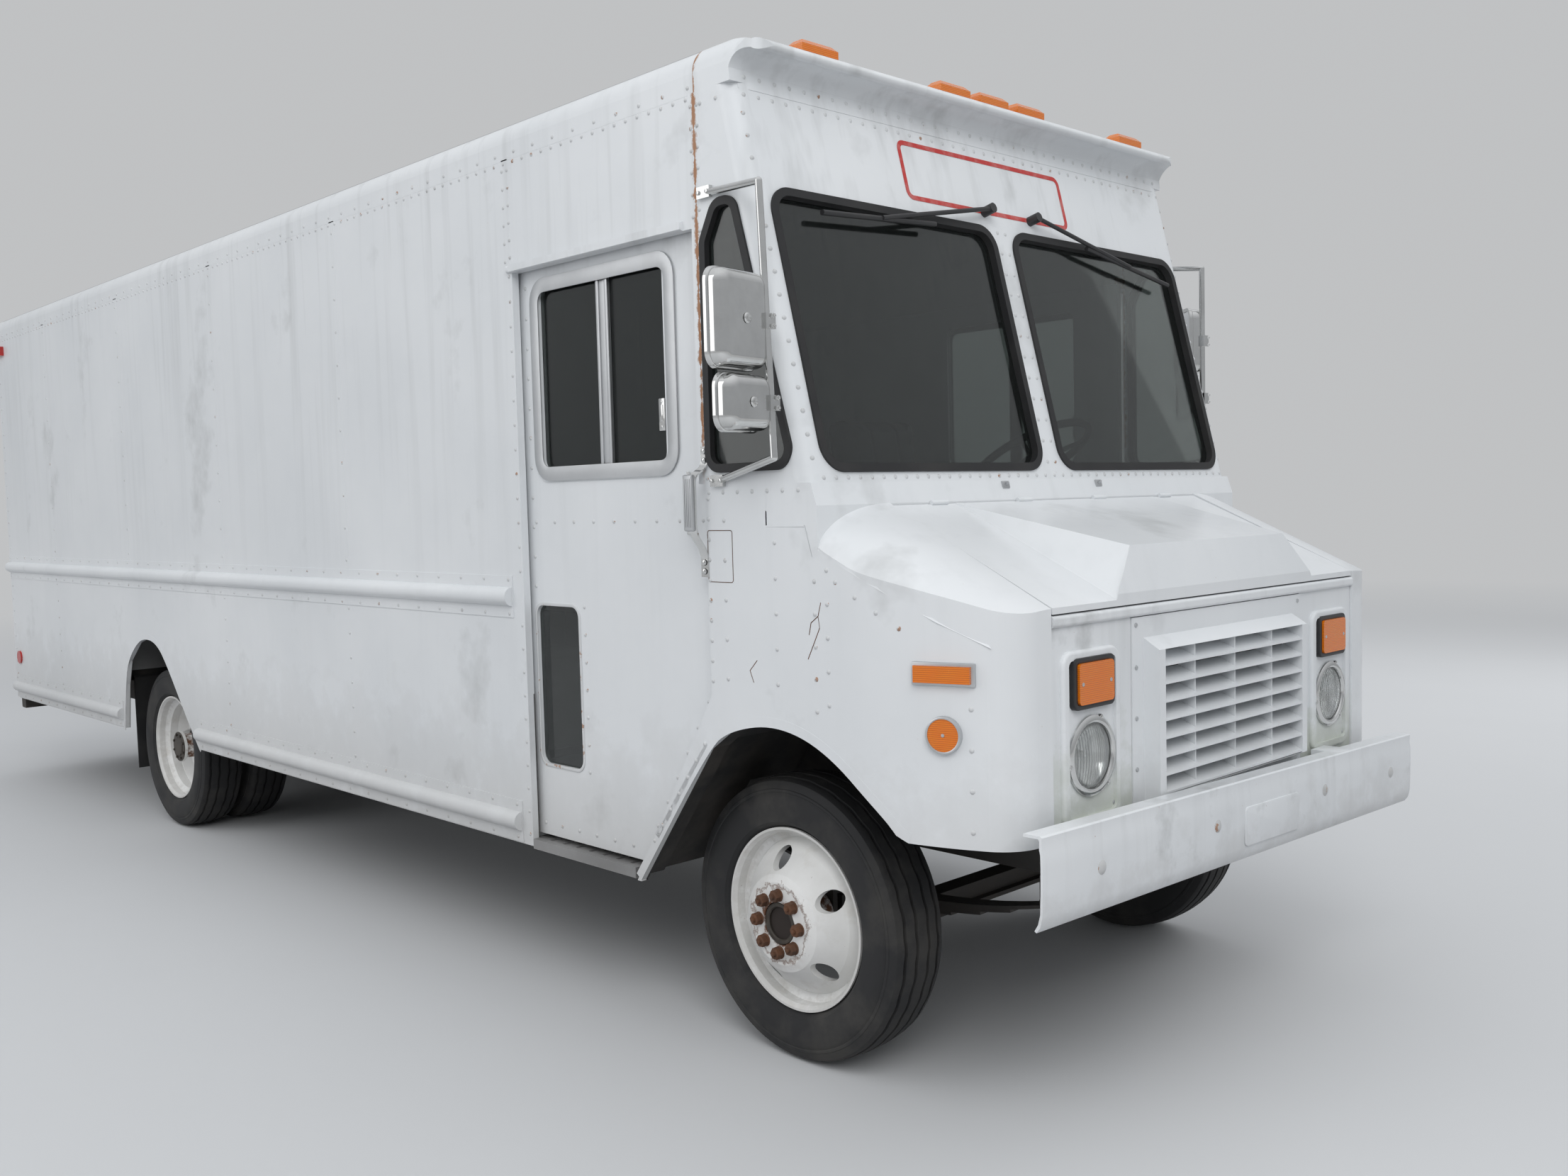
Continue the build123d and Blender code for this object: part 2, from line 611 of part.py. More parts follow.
# Ladder frame
FRAME_FRONT = -800
FRAME_REAR = BODY_REAR - 45
CROSS_MEMBERS = [-730, 1300, 2700, 3700, 5350, FRAME_REAR - 160]


def frame_rails():
    bottom = RAIL_TOP - RAIL_DEPTH
    rails = None
    for side in (-1, 1):
        outer = side * (RAIL_X + RAIL_METAL)
        web = block(min(outer, side * RAIL_X), max(outer, side * RAIL_X), FRAME_FRONT, FRAME_REAR, bottom, RAIL_TOP)
        inner = side * (RAIL_X - RAIL_FLANGE)
        for z in (bottom, RAIL_TOP - RAIL_METAL):
            web = web + block(min(outer, inner), max(outer, inner), FRAME_FRONT, FRAME_REAR, z, z + RAIL_METAL)
        rails = web if rails is None else rails + web
    for y in CROSS_MEMBERS:
        rails = rails + block(-RAIL_X, RAIL_X, y - 40, y + 40, RAIL_TOP - 58, RAIL_TOP - RAIL_METAL)
    return rails


# Axles with their leaf springs
SPRING_X = 440
LEAVES = [(720, 10), (560, 10), (420, 10), (280, 10)]


def leaf_spring(y_axle, half_length, seat_z, sag):
    spring = None
    for index, (reach, thick) in enumerate(LEAVES):
        half = half_length * reach / 720
        rise = sag * (half / half_length) ** 2
        low = seat_z + (len(LEAVES) - 1 - index) * thick
        front = y_axle - half
        back = y_axle + half
        end = low + rise
        upper = ThreePointArc((front, end + thick), (y_axle, low + thick), (back, end + thick))
        lower = ThreePointArc((back, end), (y_axle, low), (front, end))
        face = make_face([upper, Line(upper @ 1, lower @ 0), lower, Line(lower @ 1, upper @ 0)])
        leaf = along_x(face, -SPRING_X - 32, -SPRING_X + 32)
        spring = leaf if spring is None else spring + leaf
    for y in (y_axle - half_length, y_axle + half_length):
        z = seat_z + 30 + sag + 12
        eye = Pos(-SPRING_X, y, z) * Rot(0, 90, 0) * Cylinder(24, 64)
        hanger = block(-SPRING_X - 26, -SPRING_X + 26, y - 26, y + 26, z, RAIL_TOP - RAIL_DEPTH)
        spring = spring + eye + hanger
    return spring


AXLE_DROP = 92


def front_axle():
    z = TYRE_RADIUS
    low = z - AXLE_DROP
    points = [
        (-KINGPIN_X - 14, z - 40), (-KINGPIN_X + 34, z - 40), (-KINGPIN_X + 175, low - 38),
        (KINGPIN_X - 175, low - 38), (KINGPIN_X - 34, z - 40),
        (KINGPIN_X + 14, z - 40), (KINGPIN_X + 14, z + 40), (KINGPIN_X - 40, z + 40),
        (KINGPIN_X - 195, low + 38), (-KINGPIN_X + 195, low + 38),
        (-KINGPIN_X + 40, z + 40), (-KINGPIN_X - 14, z + 40),
    ]
    beam = along_y(outline(points), -36, 36)
    reach = KINGPIN_X - 215
    web = block(-reach, reach, 10, 60, low - 24, low + 24)
    beam = beam - web - mirror(web, about=Plane.XZ)
    shape = beam
    for spring in both_sides([leaf_spring(0, 560, low + 34, 70)]):
        shape = shape + spring
    for side in (-1, 1):
        shape = shape - Pos(side * KINGPIN_X, 0, z) * Cylinder(17.05, 200)
    return shape


def rear_axle():
    tube = Pos(0, WHEELBASE, TYRE_RADIUS) * Rot(0, 90, 0) * Cylinder(58, 2 * (DUAL_INNER - 118))
    pumpkin = Pos(0, WHEELBASE, TYRE_RADIUS) * Rot(90, 0, 0) * Cylinder(185, 150)
    pumpkin = fillet(pumpkin.edges(), 50)
    nose = Pos(0, WHEELBASE - 150, TYRE_RADIUS) * Rot(90, 0, 0) * Cylinder(75, 200)
    shape = tube + pumpkin + nose
    spindle = Pos(0, WHEELBASE, TYRE_RADIUS) * Rot(0, 90, 0) * Cylinder(40, 2 * (DUAL_OUTER - 95))
    shape = shape + spindle
    for spring in both_sides([leaf_spring(WHEELBASE, 680, TYRE_RADIUS + 40, 20)]):
        shape = shape + spring
    return shape


# Engine, gearbox, radiator and driveshaft as plain masses, with the exhaust and the fuel tank
def drivetrain():
    engine = block(-235, 235, -600, 130, 520, 1120)
    gearbox = block(-130, 130, 130, 900, 520, 740)
    shape = engine + gearbox
    shaft = rod((0, 900, 640), (0, WHEELBASE - 256, TYRE_RADIUS + 10), 42)
    flange_y = WHEELBASE - 250
    shape = shape + shaft + Pos(0, flange_y - 10, TYRE_RADIUS) * Rot(90, 0, 0) * Cylinder(62, 20)
    radiator = block(-360, 360, -770, -700, 724, 1230)
    mounts = block(-300, 300, -700, -600, 724, 800)
    return shape + radiator + mounts


def exhaust():
    pipe = bent_rod([(300, 60, 480), (300, 1500, 480), (300, 1700, 440), (300, 3900, 440)], 30)
    muffler = Pos(300, 2300, 440) * Rot(90, 0, 0) * Cylinder(95, 620)
    pipe = pipe + fillet(muffler.edges(), 24)
    for y, z in ((1300, 480), (3700, 440)):
        pipe = pipe + block(294, 306, y - 6, y + 6, z, RAIL_TOP - 58)
    return pipe


def fuel_tank():
    tank = block(-HALF_WIDTH + 93, -520, 1500, 2650, 420, 700)
    tank = fillet(tank.edges().filter_by(Axis.Y), 60)
    straps = []
    for y in (1700, 2450):
        straps.append(block(-470, -441.5, y - 25, y + 25, 560, 715))
        straps.append(block(-530, -441.5, y - 25, y + 25, 600, 640))
    for strap in straps:
        tank = tank + strap
    return tank


# Floor with cross sills, step wells and the boxes over the rear wheels
WHEEL_BOX_INNER = DUAL_INNER - 138
WHEEL_BOX_TOP = 985
WHEEL_BOX_FRONT = WHEELBASE - 610
WHEEL_BOX_REAR = WHEELBASE + 445
POCKET_INNER = HALF_WIDTH - 77
POCKET_REAR = 1915
LOAD_FLOOR_FRONT = 1122
SILL_YS = [1180, 1640, 2100, 2560, 3020, 3480, 5200, 5660, 6120, 6580]


def floor():
    under = FLOOR_TOP - FLOOR_THICKNESS
    inner = HALF_WIDTH - WALL
    plate = block(-inner, inner, HOOD_BACK_Y + WALL, BODY_REAR - 40, under, FLOOR_TOP)
    plate = plate - block(-330, 330, HOOD_BACK_Y - 9, 420, under - 9, FLOOR_TOP + 9)
    # A joint groove parts the cab floor from the load floor
    plate = plate - block(-inner, inner, LOAD_FLOOR_FRONT - 4, LOAD_FLOOR_FRONT, FLOOR_TOP - 1, FLOOR_TOP + 1)
    for y in SILL_YS:
        plate = plate + block(-inner, inner, y - 30, y + 30, RAIL_TOP, under)
    for side in (-1, 1):
        x0, x1 = sorted((side * STEP_INNER, side * (inner + 9)))
        plate = plate - block(x0, x1, HOOD_BACK_Y - 9, 1090, under - 9, FLOOR_TOP + 9)
        x0, x1 = sorted((side * POCKET_INNER, side * (inner + 9)))
        plate = plate - block(x0, x1, 1080, POCKET_REAR, RAIL_TOP - 9, FLOOR_TOP + 9)
        x0, x1 = sorted((side * HOUSING_INNER, side * (inner + 9)))
        plate = plate - front_arch(x0, x1, HOUSING_ROOM + HOUSING_SHEET)
        x0, x1 = sorted((side * WHEEL_BOX_INNER, side * inner))
        box = block(x0, x1, WHEEL_BOX_FRONT, WHEEL_BOX_REAR, under, WHEEL_BOX_TOP)
        x2, x3 = sorted((side * (WHEEL_BOX_INNER + 12), side * (inner + 9)))
        hollow = block(x2, x3, WHEEL_BOX_FRONT + 12, WHEEL_BOX_REAR - 12, under - 60, WHEEL_BOX_TOP - 12)
        plate = (plate + box) - hollow
    return plate


TREAD_SLOTS = 7


def steps():
    inner = HALF_WIDTH - 4
    tread = block(-inner, -STEP_INNER, STEP_FRONT, 1090, SKIRT_Z + 3, STEP_Z)
    for index in range(TREAD_SLOTS):
        y = STEP_FRONT + 60 + index * 72
        for x in (-inner + 50, -inner + 130, -inner + 210):
            tread = tread - block(x - 24, x + 24, y - 8, y + 8, 0, 600)
    strip = block(-HALF_WIDTH, -HALF_WIDTH + WALL, STEP_FRONT, 1090, SKIRT_Z - 8, STEP_Z + 2)
    riser = block(-STEP_INNER - 12, -STEP_INNER, 250, 1090, STEP_Z, FLOOR_TOP - FLOOR_THICKNESS)
    riser = riser - front_arch(-STEP_INNER - 20, -STEP_INNER + 8, HOUSING_ROOM + HOUSING_SHEET + RUN_GAP)
    back = block(-TRACK_INNER, -STEP_INNER, 1078, 1090, STEP_Z, FLOOR_TOP - FLOOR_THICKNESS)
    step = tread + strip + riser + back
    step = step - block(-2 * HALF_WIDTH, -HALF_WIDTH + WALL, DOOR_REAR, 2 * DOOR_REAR, 0, FLOOR_TOP)
    return both_sides([step])


# Rear frame around the two rear doors
REAR_OPEN_HALF = HALF_WIDTH - 313
REAR_OPEN_TOP = SEAM_Z - 175

# Licence plate holes, 7 by 4.75 inches apart, below the left rear door
PLATE_X = 520
PLATE_Z = 640
PLATE_HOLE_RADIUS = 3.5
PLATE_HOLES = [(PLATE_X + i * 177.8 / 2, PLATE_Z + k * 120.65 / 2) for i in (-1, 1) for k in (-1, 1)]


REAR_DOOR_GAP = 6
REAR_HINGE_X = REAR_OPEN_HALF - 3
REAR_HINGE_Y = BODY_REAR + 12
REAR_HINGE_ZS = (1000, 1670, REAR_OPEN_TOP - 210)


def rear_frame():
    section = roof_section(0)
    plate = along_y(section, BODY_REAR - 40, BODY_REAR)
    plate = plate + block(-HALF_WIDTH, HALF_WIDTH, BODY_REAR - 40, BODY_REAR, SKIRT_Z + 15, SEAM_Z)
    plate = plate - block(-REAR_OPEN_HALF, REAR_OPEN_HALF, BODY_REAR - 60, BODY_REAR + 20, FLOOR_TOP, REAR_OPEN_TOP)
    for x in (-REAR_HINGE_X, REAR_HINGE_X):
        outward = 44 if x > 0 else -44
        x0, x1 = sorted((x, x + outward))
        for z in REAR_HINGE_ZS:
            low = z + 22 + RUN_GAP
            plate = plate + block(x0, x1, BODY_REAR, BODY_REAR + 6, low, low + 30)
            plate = plate + Pos(x, REAR_HINGE_Y, low + 15) * Cylinder(8, 30)
    for x, z in PLATE_HOLES:
        plate = plate - Pos(x, BODY_REAR, z) * Rot(90, 0, 0) * Cylinder(PLATE_HOLE_RADIUS, 200)
    return plate


def rear_door():
    outer = -REAR_OPEN_HALF + REAR_DOOR_GAP
    low = FLOOR_TOP + REAR_DOOR_GAP
    high = REAR_OPEN_TOP - REAR_DOOR_GAP
    panel = block(outer, -REAR_DOOR_GAP / 2, BODY_REAR - 34, BODY_REAR + 4, low, high)
    window = Rectangle(440, 520)
    window = fillet(window.vertices(), 60)
    window = Pos(outer / 2, REAR_OPEN_TOP - 420) * window
    panel = panel - along_y(window, BODY_REAR - 60, BODY_REAR + 60)
    pane = along_y(window, BODY_REAR - 22, BODY_REAR - 14)
    panel = panel + pane
    for z in REAR_HINGE_ZS:
        strap = block(outer - 2, outer + 190, BODY_REAR + 4, BODY_REAR + 10, z - 22, z + 22)
        knuckle = Pos(-REAR_HINGE_X, REAR_HINGE_Y, z) * Cylinder(8, 44)
        panel = panel + strap + knuckle
    return panel


# Sliding cab door, hung behind the body side
DOOR_FRONT = 140
DOOR_BACK = 1092
DOOR_LOW = 522
DOOR_HIGH = TRACK_Z - RUN_GAP
UPPER_WINDOW_TOP = DOOR_TOP - 52
UPPER_WINDOW = [(339, 1725), (976, 1725), (976, UPPER_WINDOW_TOP), (339, UPPER_WINDOW_TOP)]
LOWER_WINDOW = [(812, 762), (1046, 762), (1046, 1288), (812, 1288)]


def door():
    points = [
        (DOOR_BACK, DOOR_LOW), (482, DOOR_LOW), (DOOR_FRONT, 1075), (DOOR_FRONT, DOOR_HIGH), (DOOR_BACK, DOOR_HIGH),
    ]
    panel = along_x(outline(points), -DOOR_OUTER, -DOOR_OUTER + DOOR_THICKNESS)
    top = DOOR_TOP - 27
    surround = outline([(302, 1690), (1016, 1690), (1016, top), (302, top)], 70)
    panel = panel + along_x(surround, -DOOR_OUTER - 4, -DOOR_OUTER + 4)
    panel = panel - along_x(outline(UPPER_WINDOW, 40), -1200, -900)
    panel = panel - along_x(outline(LOWER_WINDOW, 36), -1200, -900)
    return panel


def door_glass():
    panes = []
    for points, radius in ((UPPER_WINDOW, 40), (LOWER_WINDOW, 36)):
        panes.append(along_x(outline(points, radius), -DOOR_OUTER + 11, -DOOR_OUTER + 17))
    return panes


# Mirrors on their tubular arms
ARM_X = -HALF_WIDTH - 59
ARM_RADIUS = 10
ARM_TOP = SEAM_Z - 303
ARM_BOTTOM = 1722
HEAD_SIZES = [(205, 245), (188, 142)]


def mirror_head(wide, high):
    face = fillet(Rectangle(wide, high).vertices(), 36)
    shell = along_y(face, -36, 14)
    shell = fillet(shell.faces().sort_by(Axis.Y)[0].edges(), 28)
    rim = along_y(fillet(Rectangle(wide + 10, high + 10).vertices(), 41), 6, 20)
    rim = fillet(rim.faces().sort_by(Axis.Y)[0].edges(), 5)
    glass = along_y(fillet(Rectangle(wide - 14, high - 14).vertices(), 30), 13, 40)
    return shell + rim - glass


def mirror_set(top_y, bottom_y, turn, head_heights):
    points = [
        (-HALF_WIDTH, 96, ARM_TOP + 25), (ARM_X, top_y, ARM_TOP),
        (ARM_X, bottom_y, ARM_BOTTOM), (-HALF_WIDTH, 74, ARM_BOTTOM - 52),
    ]
    arm = bent_rod(points, ARM_RADIUS)
    for x, y, z in (points[0], points[-1]):
        arm = arm + block(-HALF_WIDTH - 12, -HALF_WIDTH, y - 26, y + 26, z - 16, z + 16)
    arm = arm & block(-2000, -HALF_WIDTH, -1000, 1000, 0, 3000)
    for z, (wide, high) in zip(head_heights, HEAD_SIZES):
        share = (z - ARM_BOTTOM) / (ARM_TOP - ARM_BOTTOM)
        tube = Pos(ARM_X, bottom_y + share * (top_y - bottom_y), z)
        head = Pos(8 - wide / 2, 30, 0) * mirror_head(wide, high)
        arm = arm + tube * Rot(0, 0, turn) * head + tube * Box(34, 34, 40)
    return arm


# Wipers hang from pivots above the windshield
def on_screen(point, off):
    # The point's height is given from the top of the panes
    x, above = point
    return screen_plane().from_local_coords(Vector(x, (PANE_TOP + above - COWL_Z) * math.hypot(1, LEAN), off))


def wipers():
    blades = []
    for pivot, elbow, tip_a, tip_b in (
        ((-70, 45), (-605, -50), (-850, -63), (-360, -37)),
        ((172, 45), (688, -65), (445, -23), (931, -107)),
    ):
        hub = Solid.make_cylinder(16, 42, Plane(origin=on_screen(pivot, 0), z_dir=screen_plane().z_dir))
        arm = rod(on_screen(pivot, 34), on_screen(elbow, 28), 7)
        blade = rod(on_screen(tip_a, 22), on_screen(tip_b, 22), 8)
        blades.append(hub + arm + blade)
    return blades


# Cab furniture: dashboard with the engine cover and steering column, and the driver's seat
SEAT_X = HALF_WIDTH - 538
SEAT_Y = 640
WHEEL_CENTRE = Vector(SEAT_X, 205, FLOOR_TOP + 955)
COLUMN_AXIS = Vector(0, 0.5, 0.866)
STEERING_RADIUS = 225


def dashboard():
    front = HOOD_BACK_Y + WALL
    points = [(front, 1330), (-60, 1330), (-40, 1400), (-120, 1545), (front, 1556)]
    dash = along_x(outline(points), -HALF_WIDTH + WALL + 45, HALF_WIDTH - WALL - 45)
    cover = [(front, FLOOR_TOP), (410, FLOOR_TOP), (380, 1210), (300, 1260), (front, 1330)]
    cover = along_x(outline(cover), -COVER_HALF, COVER_HALF)
    low = FLOOR_TOP - 9
    hollow = [(front - 9, low), (396, low), (366, 1196), (292, 1244), (front - 9, 1314)]
    hollow = along_x(outline(hollow), -COVER_HALF + 14, COVER_HALF - 14)
    shape = dash + cover
    column_top = WHEEL_CENTRE - COLUMN_AXIS * 60
    column_foot = WHEEL_CENTRE - COLUMN_AXIS * 520
    shape = shape + rod(tuple(column_foot), tuple(column_top), 30)
    return shape - hollow


def steering_wheel():
    plane = Plane(origin=tuple(WHEEL_CENTRE), x_dir=(1, 0, 0), z_dir=tuple(COLUMN_AXIS))
    wheel = Torus(STEERING_RADIUS, 14) + Pos(0, 0, -22) * Cylinder(45, 36)
    for angle in (90, 210, 330):
        spoke = Rot(0, 0, angle) * rod((30, 0, -20), (STEERING_RADIUS, 0, 0), 9)
        wheel = wheel + spoke
    wheel = wheel + Pos(0, 0, -46.85) * Cylinder(18, 25.7)
    return plane * wheel


CUSHION_Z = FLOOR_TOP + 430
CUSHION_HALF = 240
CUSHION_THICKNESS = 120


def driver_seat():
    top = CUSHION_Z + CUSHION_THICKNESS
    half = CUSHION_HALF
    pedestal = block(SEAT_X - 150, SEAT_X + 150, SEAT_Y - 180, SEAT_Y + 180, FLOOR_TOP, CUSHION_Z)
    cushion = block(SEAT_X - half, SEAT_X + half, SEAT_Y - half, SEAT_Y + half, CUSHION_Z, top)
    cushion = fillet(cushion.edges(), 40)
    back = fillet(block(SEAT_X - half + 5, SEAT_X + half - 5, -60, 60, 0, 620).edges(), 45)
    back = Pos(0, SEAT_Y + half + 10, top - 15) * Rot(-10, 0, 0) * back
    return pedestal + cushion + back


def mud_flaps():
    flap_y = WHEELBASE + 470
    flap = block(-DUAL_OUTER - 115, -DUAL_INNER + 90, flap_y, flap_y + 8, 250, FLOOR_TOP - FLOOR_THICKNESS)
    return both_sides([flap])


# Wheels: pressed disc wheels, the front ones domed outwards and the rear pair dished
def rim_profile():
    # Depth below the rim radius and distance in from the rim's edge, along one half
    half = [(0, 0), (7, 0), (16, 12), (18, 40), (42, 58)]
    back = [(34, 60), (10, 42), (8, 16), (0, 8)]
    inside = [(RIM_RADIUS - depth, RIM_HALF - reach) for depth, reach in half]
    outside = [(RIM_RADIUS - depth, RIM_HALF - reach) for depth, reach in back]
    others = [(r, -a) for r, a in reversed(inside)] + [(r, -a) for r, a in reversed(outside)]
    return inside + others + outside


DISC_THICKNESS = 11
HUB_BORE = 62


def disc_wheel(hub_face):
    rim = revolve(Plane.XZ * outline(rim_profile()), axis=Axis.Z)
    weld_a = 34
    weld_r = RIM_RADIUS - 38
    back = hub_face - DISC_THICKNESS
    disc = [
        (HUB_BORE, hub_face), (118, hub_face), (140, hub_face - 10), (205, weld_a + 36), (weld_r, weld_a),
        (weld_r, weld_a - 26), (weld_r - 9, weld_a - 26), (194, weld_a + 20), (133, back - 12),
        (114, back), (HUB_BORE, back),
    ]
    disc = revolve(Plane.XZ * outline(disc), axis=Axis.Z)
    for index in range(HAND_HOLES):
        angle = HAND_HOLE_START + index * 360 / HAND_HOLES
        hole = Rot(0, 0, angle) * Pos(HAND_HOLE_CIRCLE, 0, 0) * Cylinder(HAND_HOLE_RADIUS, 400)
        disc = disc - hole
    return rim + disc


def lug_nuts(face, height=22):
    nuts = None
    for index in range(LUG_COUNT):
        nut = Pos(LUG_RADIUS, 0, face - 0.3) * extrude(RegularPolygon(15, 6), amount=height)
        nut = Rot(0, 0, index * 360 / LUG_COUNT) * nut
        nuts = nut if nuts is None else nuts + nut
    return nuts


FRONT_HUB_FACE = 144
REAR_HUB_FACE = (DUAL_OUTER - DUAL_INNER) / 2


def front_wheel():
    hub = Pos(0, 0, 60) * Cylinder(HUB_BORE + 0.5, 150) - Pos(0, 0, 124) * Cylinder(46, 60)
    hub = hub + Pos(0, 0, FRONT_HUB_FACE - DISC_THICKNESS - 9) * Cylinder(112, 18)
    bore = Pos(0, 0, -5) * Cylinder(35.05, 160)
    return disc_wheel(FRONT_HUB_FACE) + hub - bore + lug_nuts(FRONT_HUB_FACE)


def rear_wheels():
    # The hub faces of the two discs meet in the middle, so the outer wheel is dished
    outer = Pos(0, 0, REAR_HUB_FACE) * mirror(disc_wheel(REAR_HUB_FACE), about=Plane.XY)
    inner = Pos(0, 0, -REAR_HUB_FACE) * disc_wheel(REAR_HUB_FACE)
    hub = Pos(0, 0, 60) * Cylinder(HUB_BORE + 0.5, 240)
    hub = hub + Pos(0, 0, 183) * Cylinder(78, 14)
    bore = Pos(0, 0, -50) * Cylinder(40.05, 220)
    return outer + inner + hub - bore + lug_nuts(DISC_THICKNESS)


def tyre():
    half = TYRE_WIDTH / 2
    bead = RIM_HALF - 16.5
    seat = RIM_RADIUS - 7.5
    tread = ThreePointArc((TYRE_RADIUS - 8, -half + 26), (TYRE_RADIUS, 0), (TYRE_RADIUS - 8, half - 26))
    shoulder = ThreePointArc(tread @ 1, (TYRE_RADIUS - 17, half - 13), (TYRE_RADIUS - 34, half - 8))
    wall = ThreePointArc(shoulder @ 1, (RIM_RADIUS + 62, half), (RIM_RADIUS + 6, half - 22))
    foot = Line(wall @ 1, (seat, bead))
    seat_line = Line(foot @ 1, (seat, bead - 26))
    liner = Line(seat_line @ 1, (TYRE_RADIUS - 40, half - 30))
    half_lines = [shoulder, wall, foot, seat_line, liner]
    others = [mirror(edge, about=Plane.XZ) for edge in half_lines]
    crown = Line(liner @ 1, (TYRE_RADIUS - 40, -half + 30))
    face = make_face([tread] + half_lines + others + [crown])
    return revolve(Plane.XZ * face, axis=Axis.Z)


def knuckle():
    # Local z points outwards along the stub axle, y is the vehicle's up
    yoke = block(-34, 34, 50, 84, -26, 48) + block(-34, 34, -84, -50, -26, 48)
    plate = block(-50, 50, -84, 84, 48, 66)
    stub = Pos(0, 0, 104) * Cylinder(35, 112)
    pin = Rot(90, 0, 0) * Cylinder(17, 168)
    return yoke + plate + stub + pin


# Place a wheel-like form (its axis along local z, outwards) on the right or left side
def place_wheel(form, side, x, y):
    if side < 0:
        return Pos(-x, y, TYRE_RADIUS) * Rot(0, -90, 0) * form
    return Pos(x, y, TYRE_RADIUS) * Rot(0, 90, 0) * form


def knuckle_placed(side):
    form = knuckle()
    upright = Rot(0, 0, 90) * form
    return place_wheel(upright, side, KINGPIN_X, 0)


nodes = {}
wall_right = side_wall()
nodes["side_wall_right"] = wall_right
nodes["side_wall_left"] = other_side(wall_right)
nodes["roof"] = roof()
nodes["brow"] = brow()
nodes["cab_upper"] = cab_upper()
nodes["cab_lower"] = cab_lower()
nodes["cab_glass"] = Compound(cab_glass())
nodes["window_gaskets"] = Compound(window_gaskets())
fender_right = fender()
nodes["fender_right"] = fender_right
nodes["fender_left"] = other_side(fender_right)
nodes["hood"] = hood()
nodes["front_panel"] = front_panel()
nodes["grille"] = grille()
nodes["headlights"] = Compound(headlights())
nodes["amber_lamps"] = Compound(amber_lamps())
nodes["red_lamps"] = Compound(red_lamps())
nodes["front_bumper"] = front_bumper()
nodes["rear_bumper"] = rear_bumper()
nodes["frame_rails"] = frame_rails()
nodes["front_axle"] = front_axle()
nodes["rear_axle"] = rear_axle()
nodes["drivetrain"] = drivetrain()
nodes["exhaust"] = exhaust()
nodes["fuel_tank"] = fuel_tank()
nodes["floor"] = floor()
nodes["steps"] = Compound(steps())
nodes["rear_frame"] = rear_frame()
rear_door_right = rear_door()
nodes["rear_door_right"] = rear_door_right
nodes["rear_door_left"] = other_side(rear_door_right)
door_right = door()
nodes["door_right"] = door_right
nodes["door_left"] = other_side(door_right)
glass_right = Compound(door_glass())
nodes["door_glass_right"] = glass_right
nodes["door_glass_left"] = other_side(glass_right)
nodes["mirror_right"] = mirror_set(-178, -209, 12, (ARM_TOP - 360, ARM_TOP - 570))
nodes["mirror_left"] = other_side(mirror_set(-150, -150, -47, (ARM_TOP - 269, ARM_TOP - 482)))
nodes["wipers"] = Compound(wipers())
nodes["dashboard"] = dashboard()
nodes["steering_wheel"] = steering_wheel()
nodes["driver_seat"] = driver_seat()
nodes["mud_flaps"] = Compound(mud_flaps())
for name, side in (("right", -1), ("left", 1)):
    nodes["knuckle_" + name] = knuckle_placed(side)
    nodes["front_wheel_" + name] = place_wheel(front_wheel(), side, FRONT_TRACK_HALF, 0)
    nodes["front_tyre_" + name] = place_wheel(tyre(), side, FRONT_TRACK_HALF, 0)
    dual_middle = (DUAL_OUTER + DUAL_INNER) / 2
    nodes["rear_wheels_" + name] = place_wheel(rear_wheels(), side, dual_middle, WHEELBASE)
    pair = [place_wheel(tyre(), side, x, WHEELBASE) for x in (DUAL_OUTER, DUAL_INNER)]
    nodes["rear_tyres_" + name] = Compound(pair)

for name, shape in nodes.items():
    export_step(Pos(0, -MIDDLE_Y, 0) * shape, "parts/" + name + ".step")
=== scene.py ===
import bpy
import bmesh
import json
import math
import time
from mathutils import Matrix, Vector
from mathutils.bvhtree import BVHTree


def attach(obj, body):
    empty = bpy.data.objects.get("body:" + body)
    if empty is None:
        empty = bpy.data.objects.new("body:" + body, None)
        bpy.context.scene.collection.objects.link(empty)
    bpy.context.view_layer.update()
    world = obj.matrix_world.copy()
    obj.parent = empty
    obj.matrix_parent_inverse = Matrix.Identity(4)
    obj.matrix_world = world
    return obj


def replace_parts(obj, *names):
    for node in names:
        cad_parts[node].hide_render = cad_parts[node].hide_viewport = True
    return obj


# Walk-in step van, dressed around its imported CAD. Front towards -Y, left side +X.
# Places in the tables are in mm from the front axle, as on a drawing; at() turns them into the frame's metres.
started = time.time()
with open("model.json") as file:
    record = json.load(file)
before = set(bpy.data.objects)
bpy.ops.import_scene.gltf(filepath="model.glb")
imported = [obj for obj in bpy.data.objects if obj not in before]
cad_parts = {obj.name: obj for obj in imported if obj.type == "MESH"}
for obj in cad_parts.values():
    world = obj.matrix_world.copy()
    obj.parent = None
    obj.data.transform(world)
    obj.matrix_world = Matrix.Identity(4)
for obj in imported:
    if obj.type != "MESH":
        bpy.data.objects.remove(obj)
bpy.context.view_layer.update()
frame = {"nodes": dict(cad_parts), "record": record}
nodes = frame["nodes"]

van = {
    "middleY": 3015,  # from the front axle to the middle of the vehicle
    "halfWidth": 1083,
    "cabRear": 138,
    "bodyRear": 6905,
    "seamZ": 2735,
    "wheelbase": 4521,
    "axleZ": 412.5,
    "curveX": 158,  # middle of the skins' round plan ahead of the doors
    "curveY": -400,
    "sheetZ": 2846,  # the roof's top sheet starts here
    "cowlY": -280,
    "cowlZ": 1656,
    "browY": -14,
    "panelY": -841,
    "floorZ": 790,
}
sides = {-1: "right", 1: "left"}


def at(x, y, z):
    return Vector((x, y - van["middleY"], z)) / 1000


def screenY(z):
    lean = (van["browY"] - van["cowlY"]) / (van["seamZ"] - van["cowlZ"])
    return van["cowlY"] + lean * (z - van["cowlZ"])


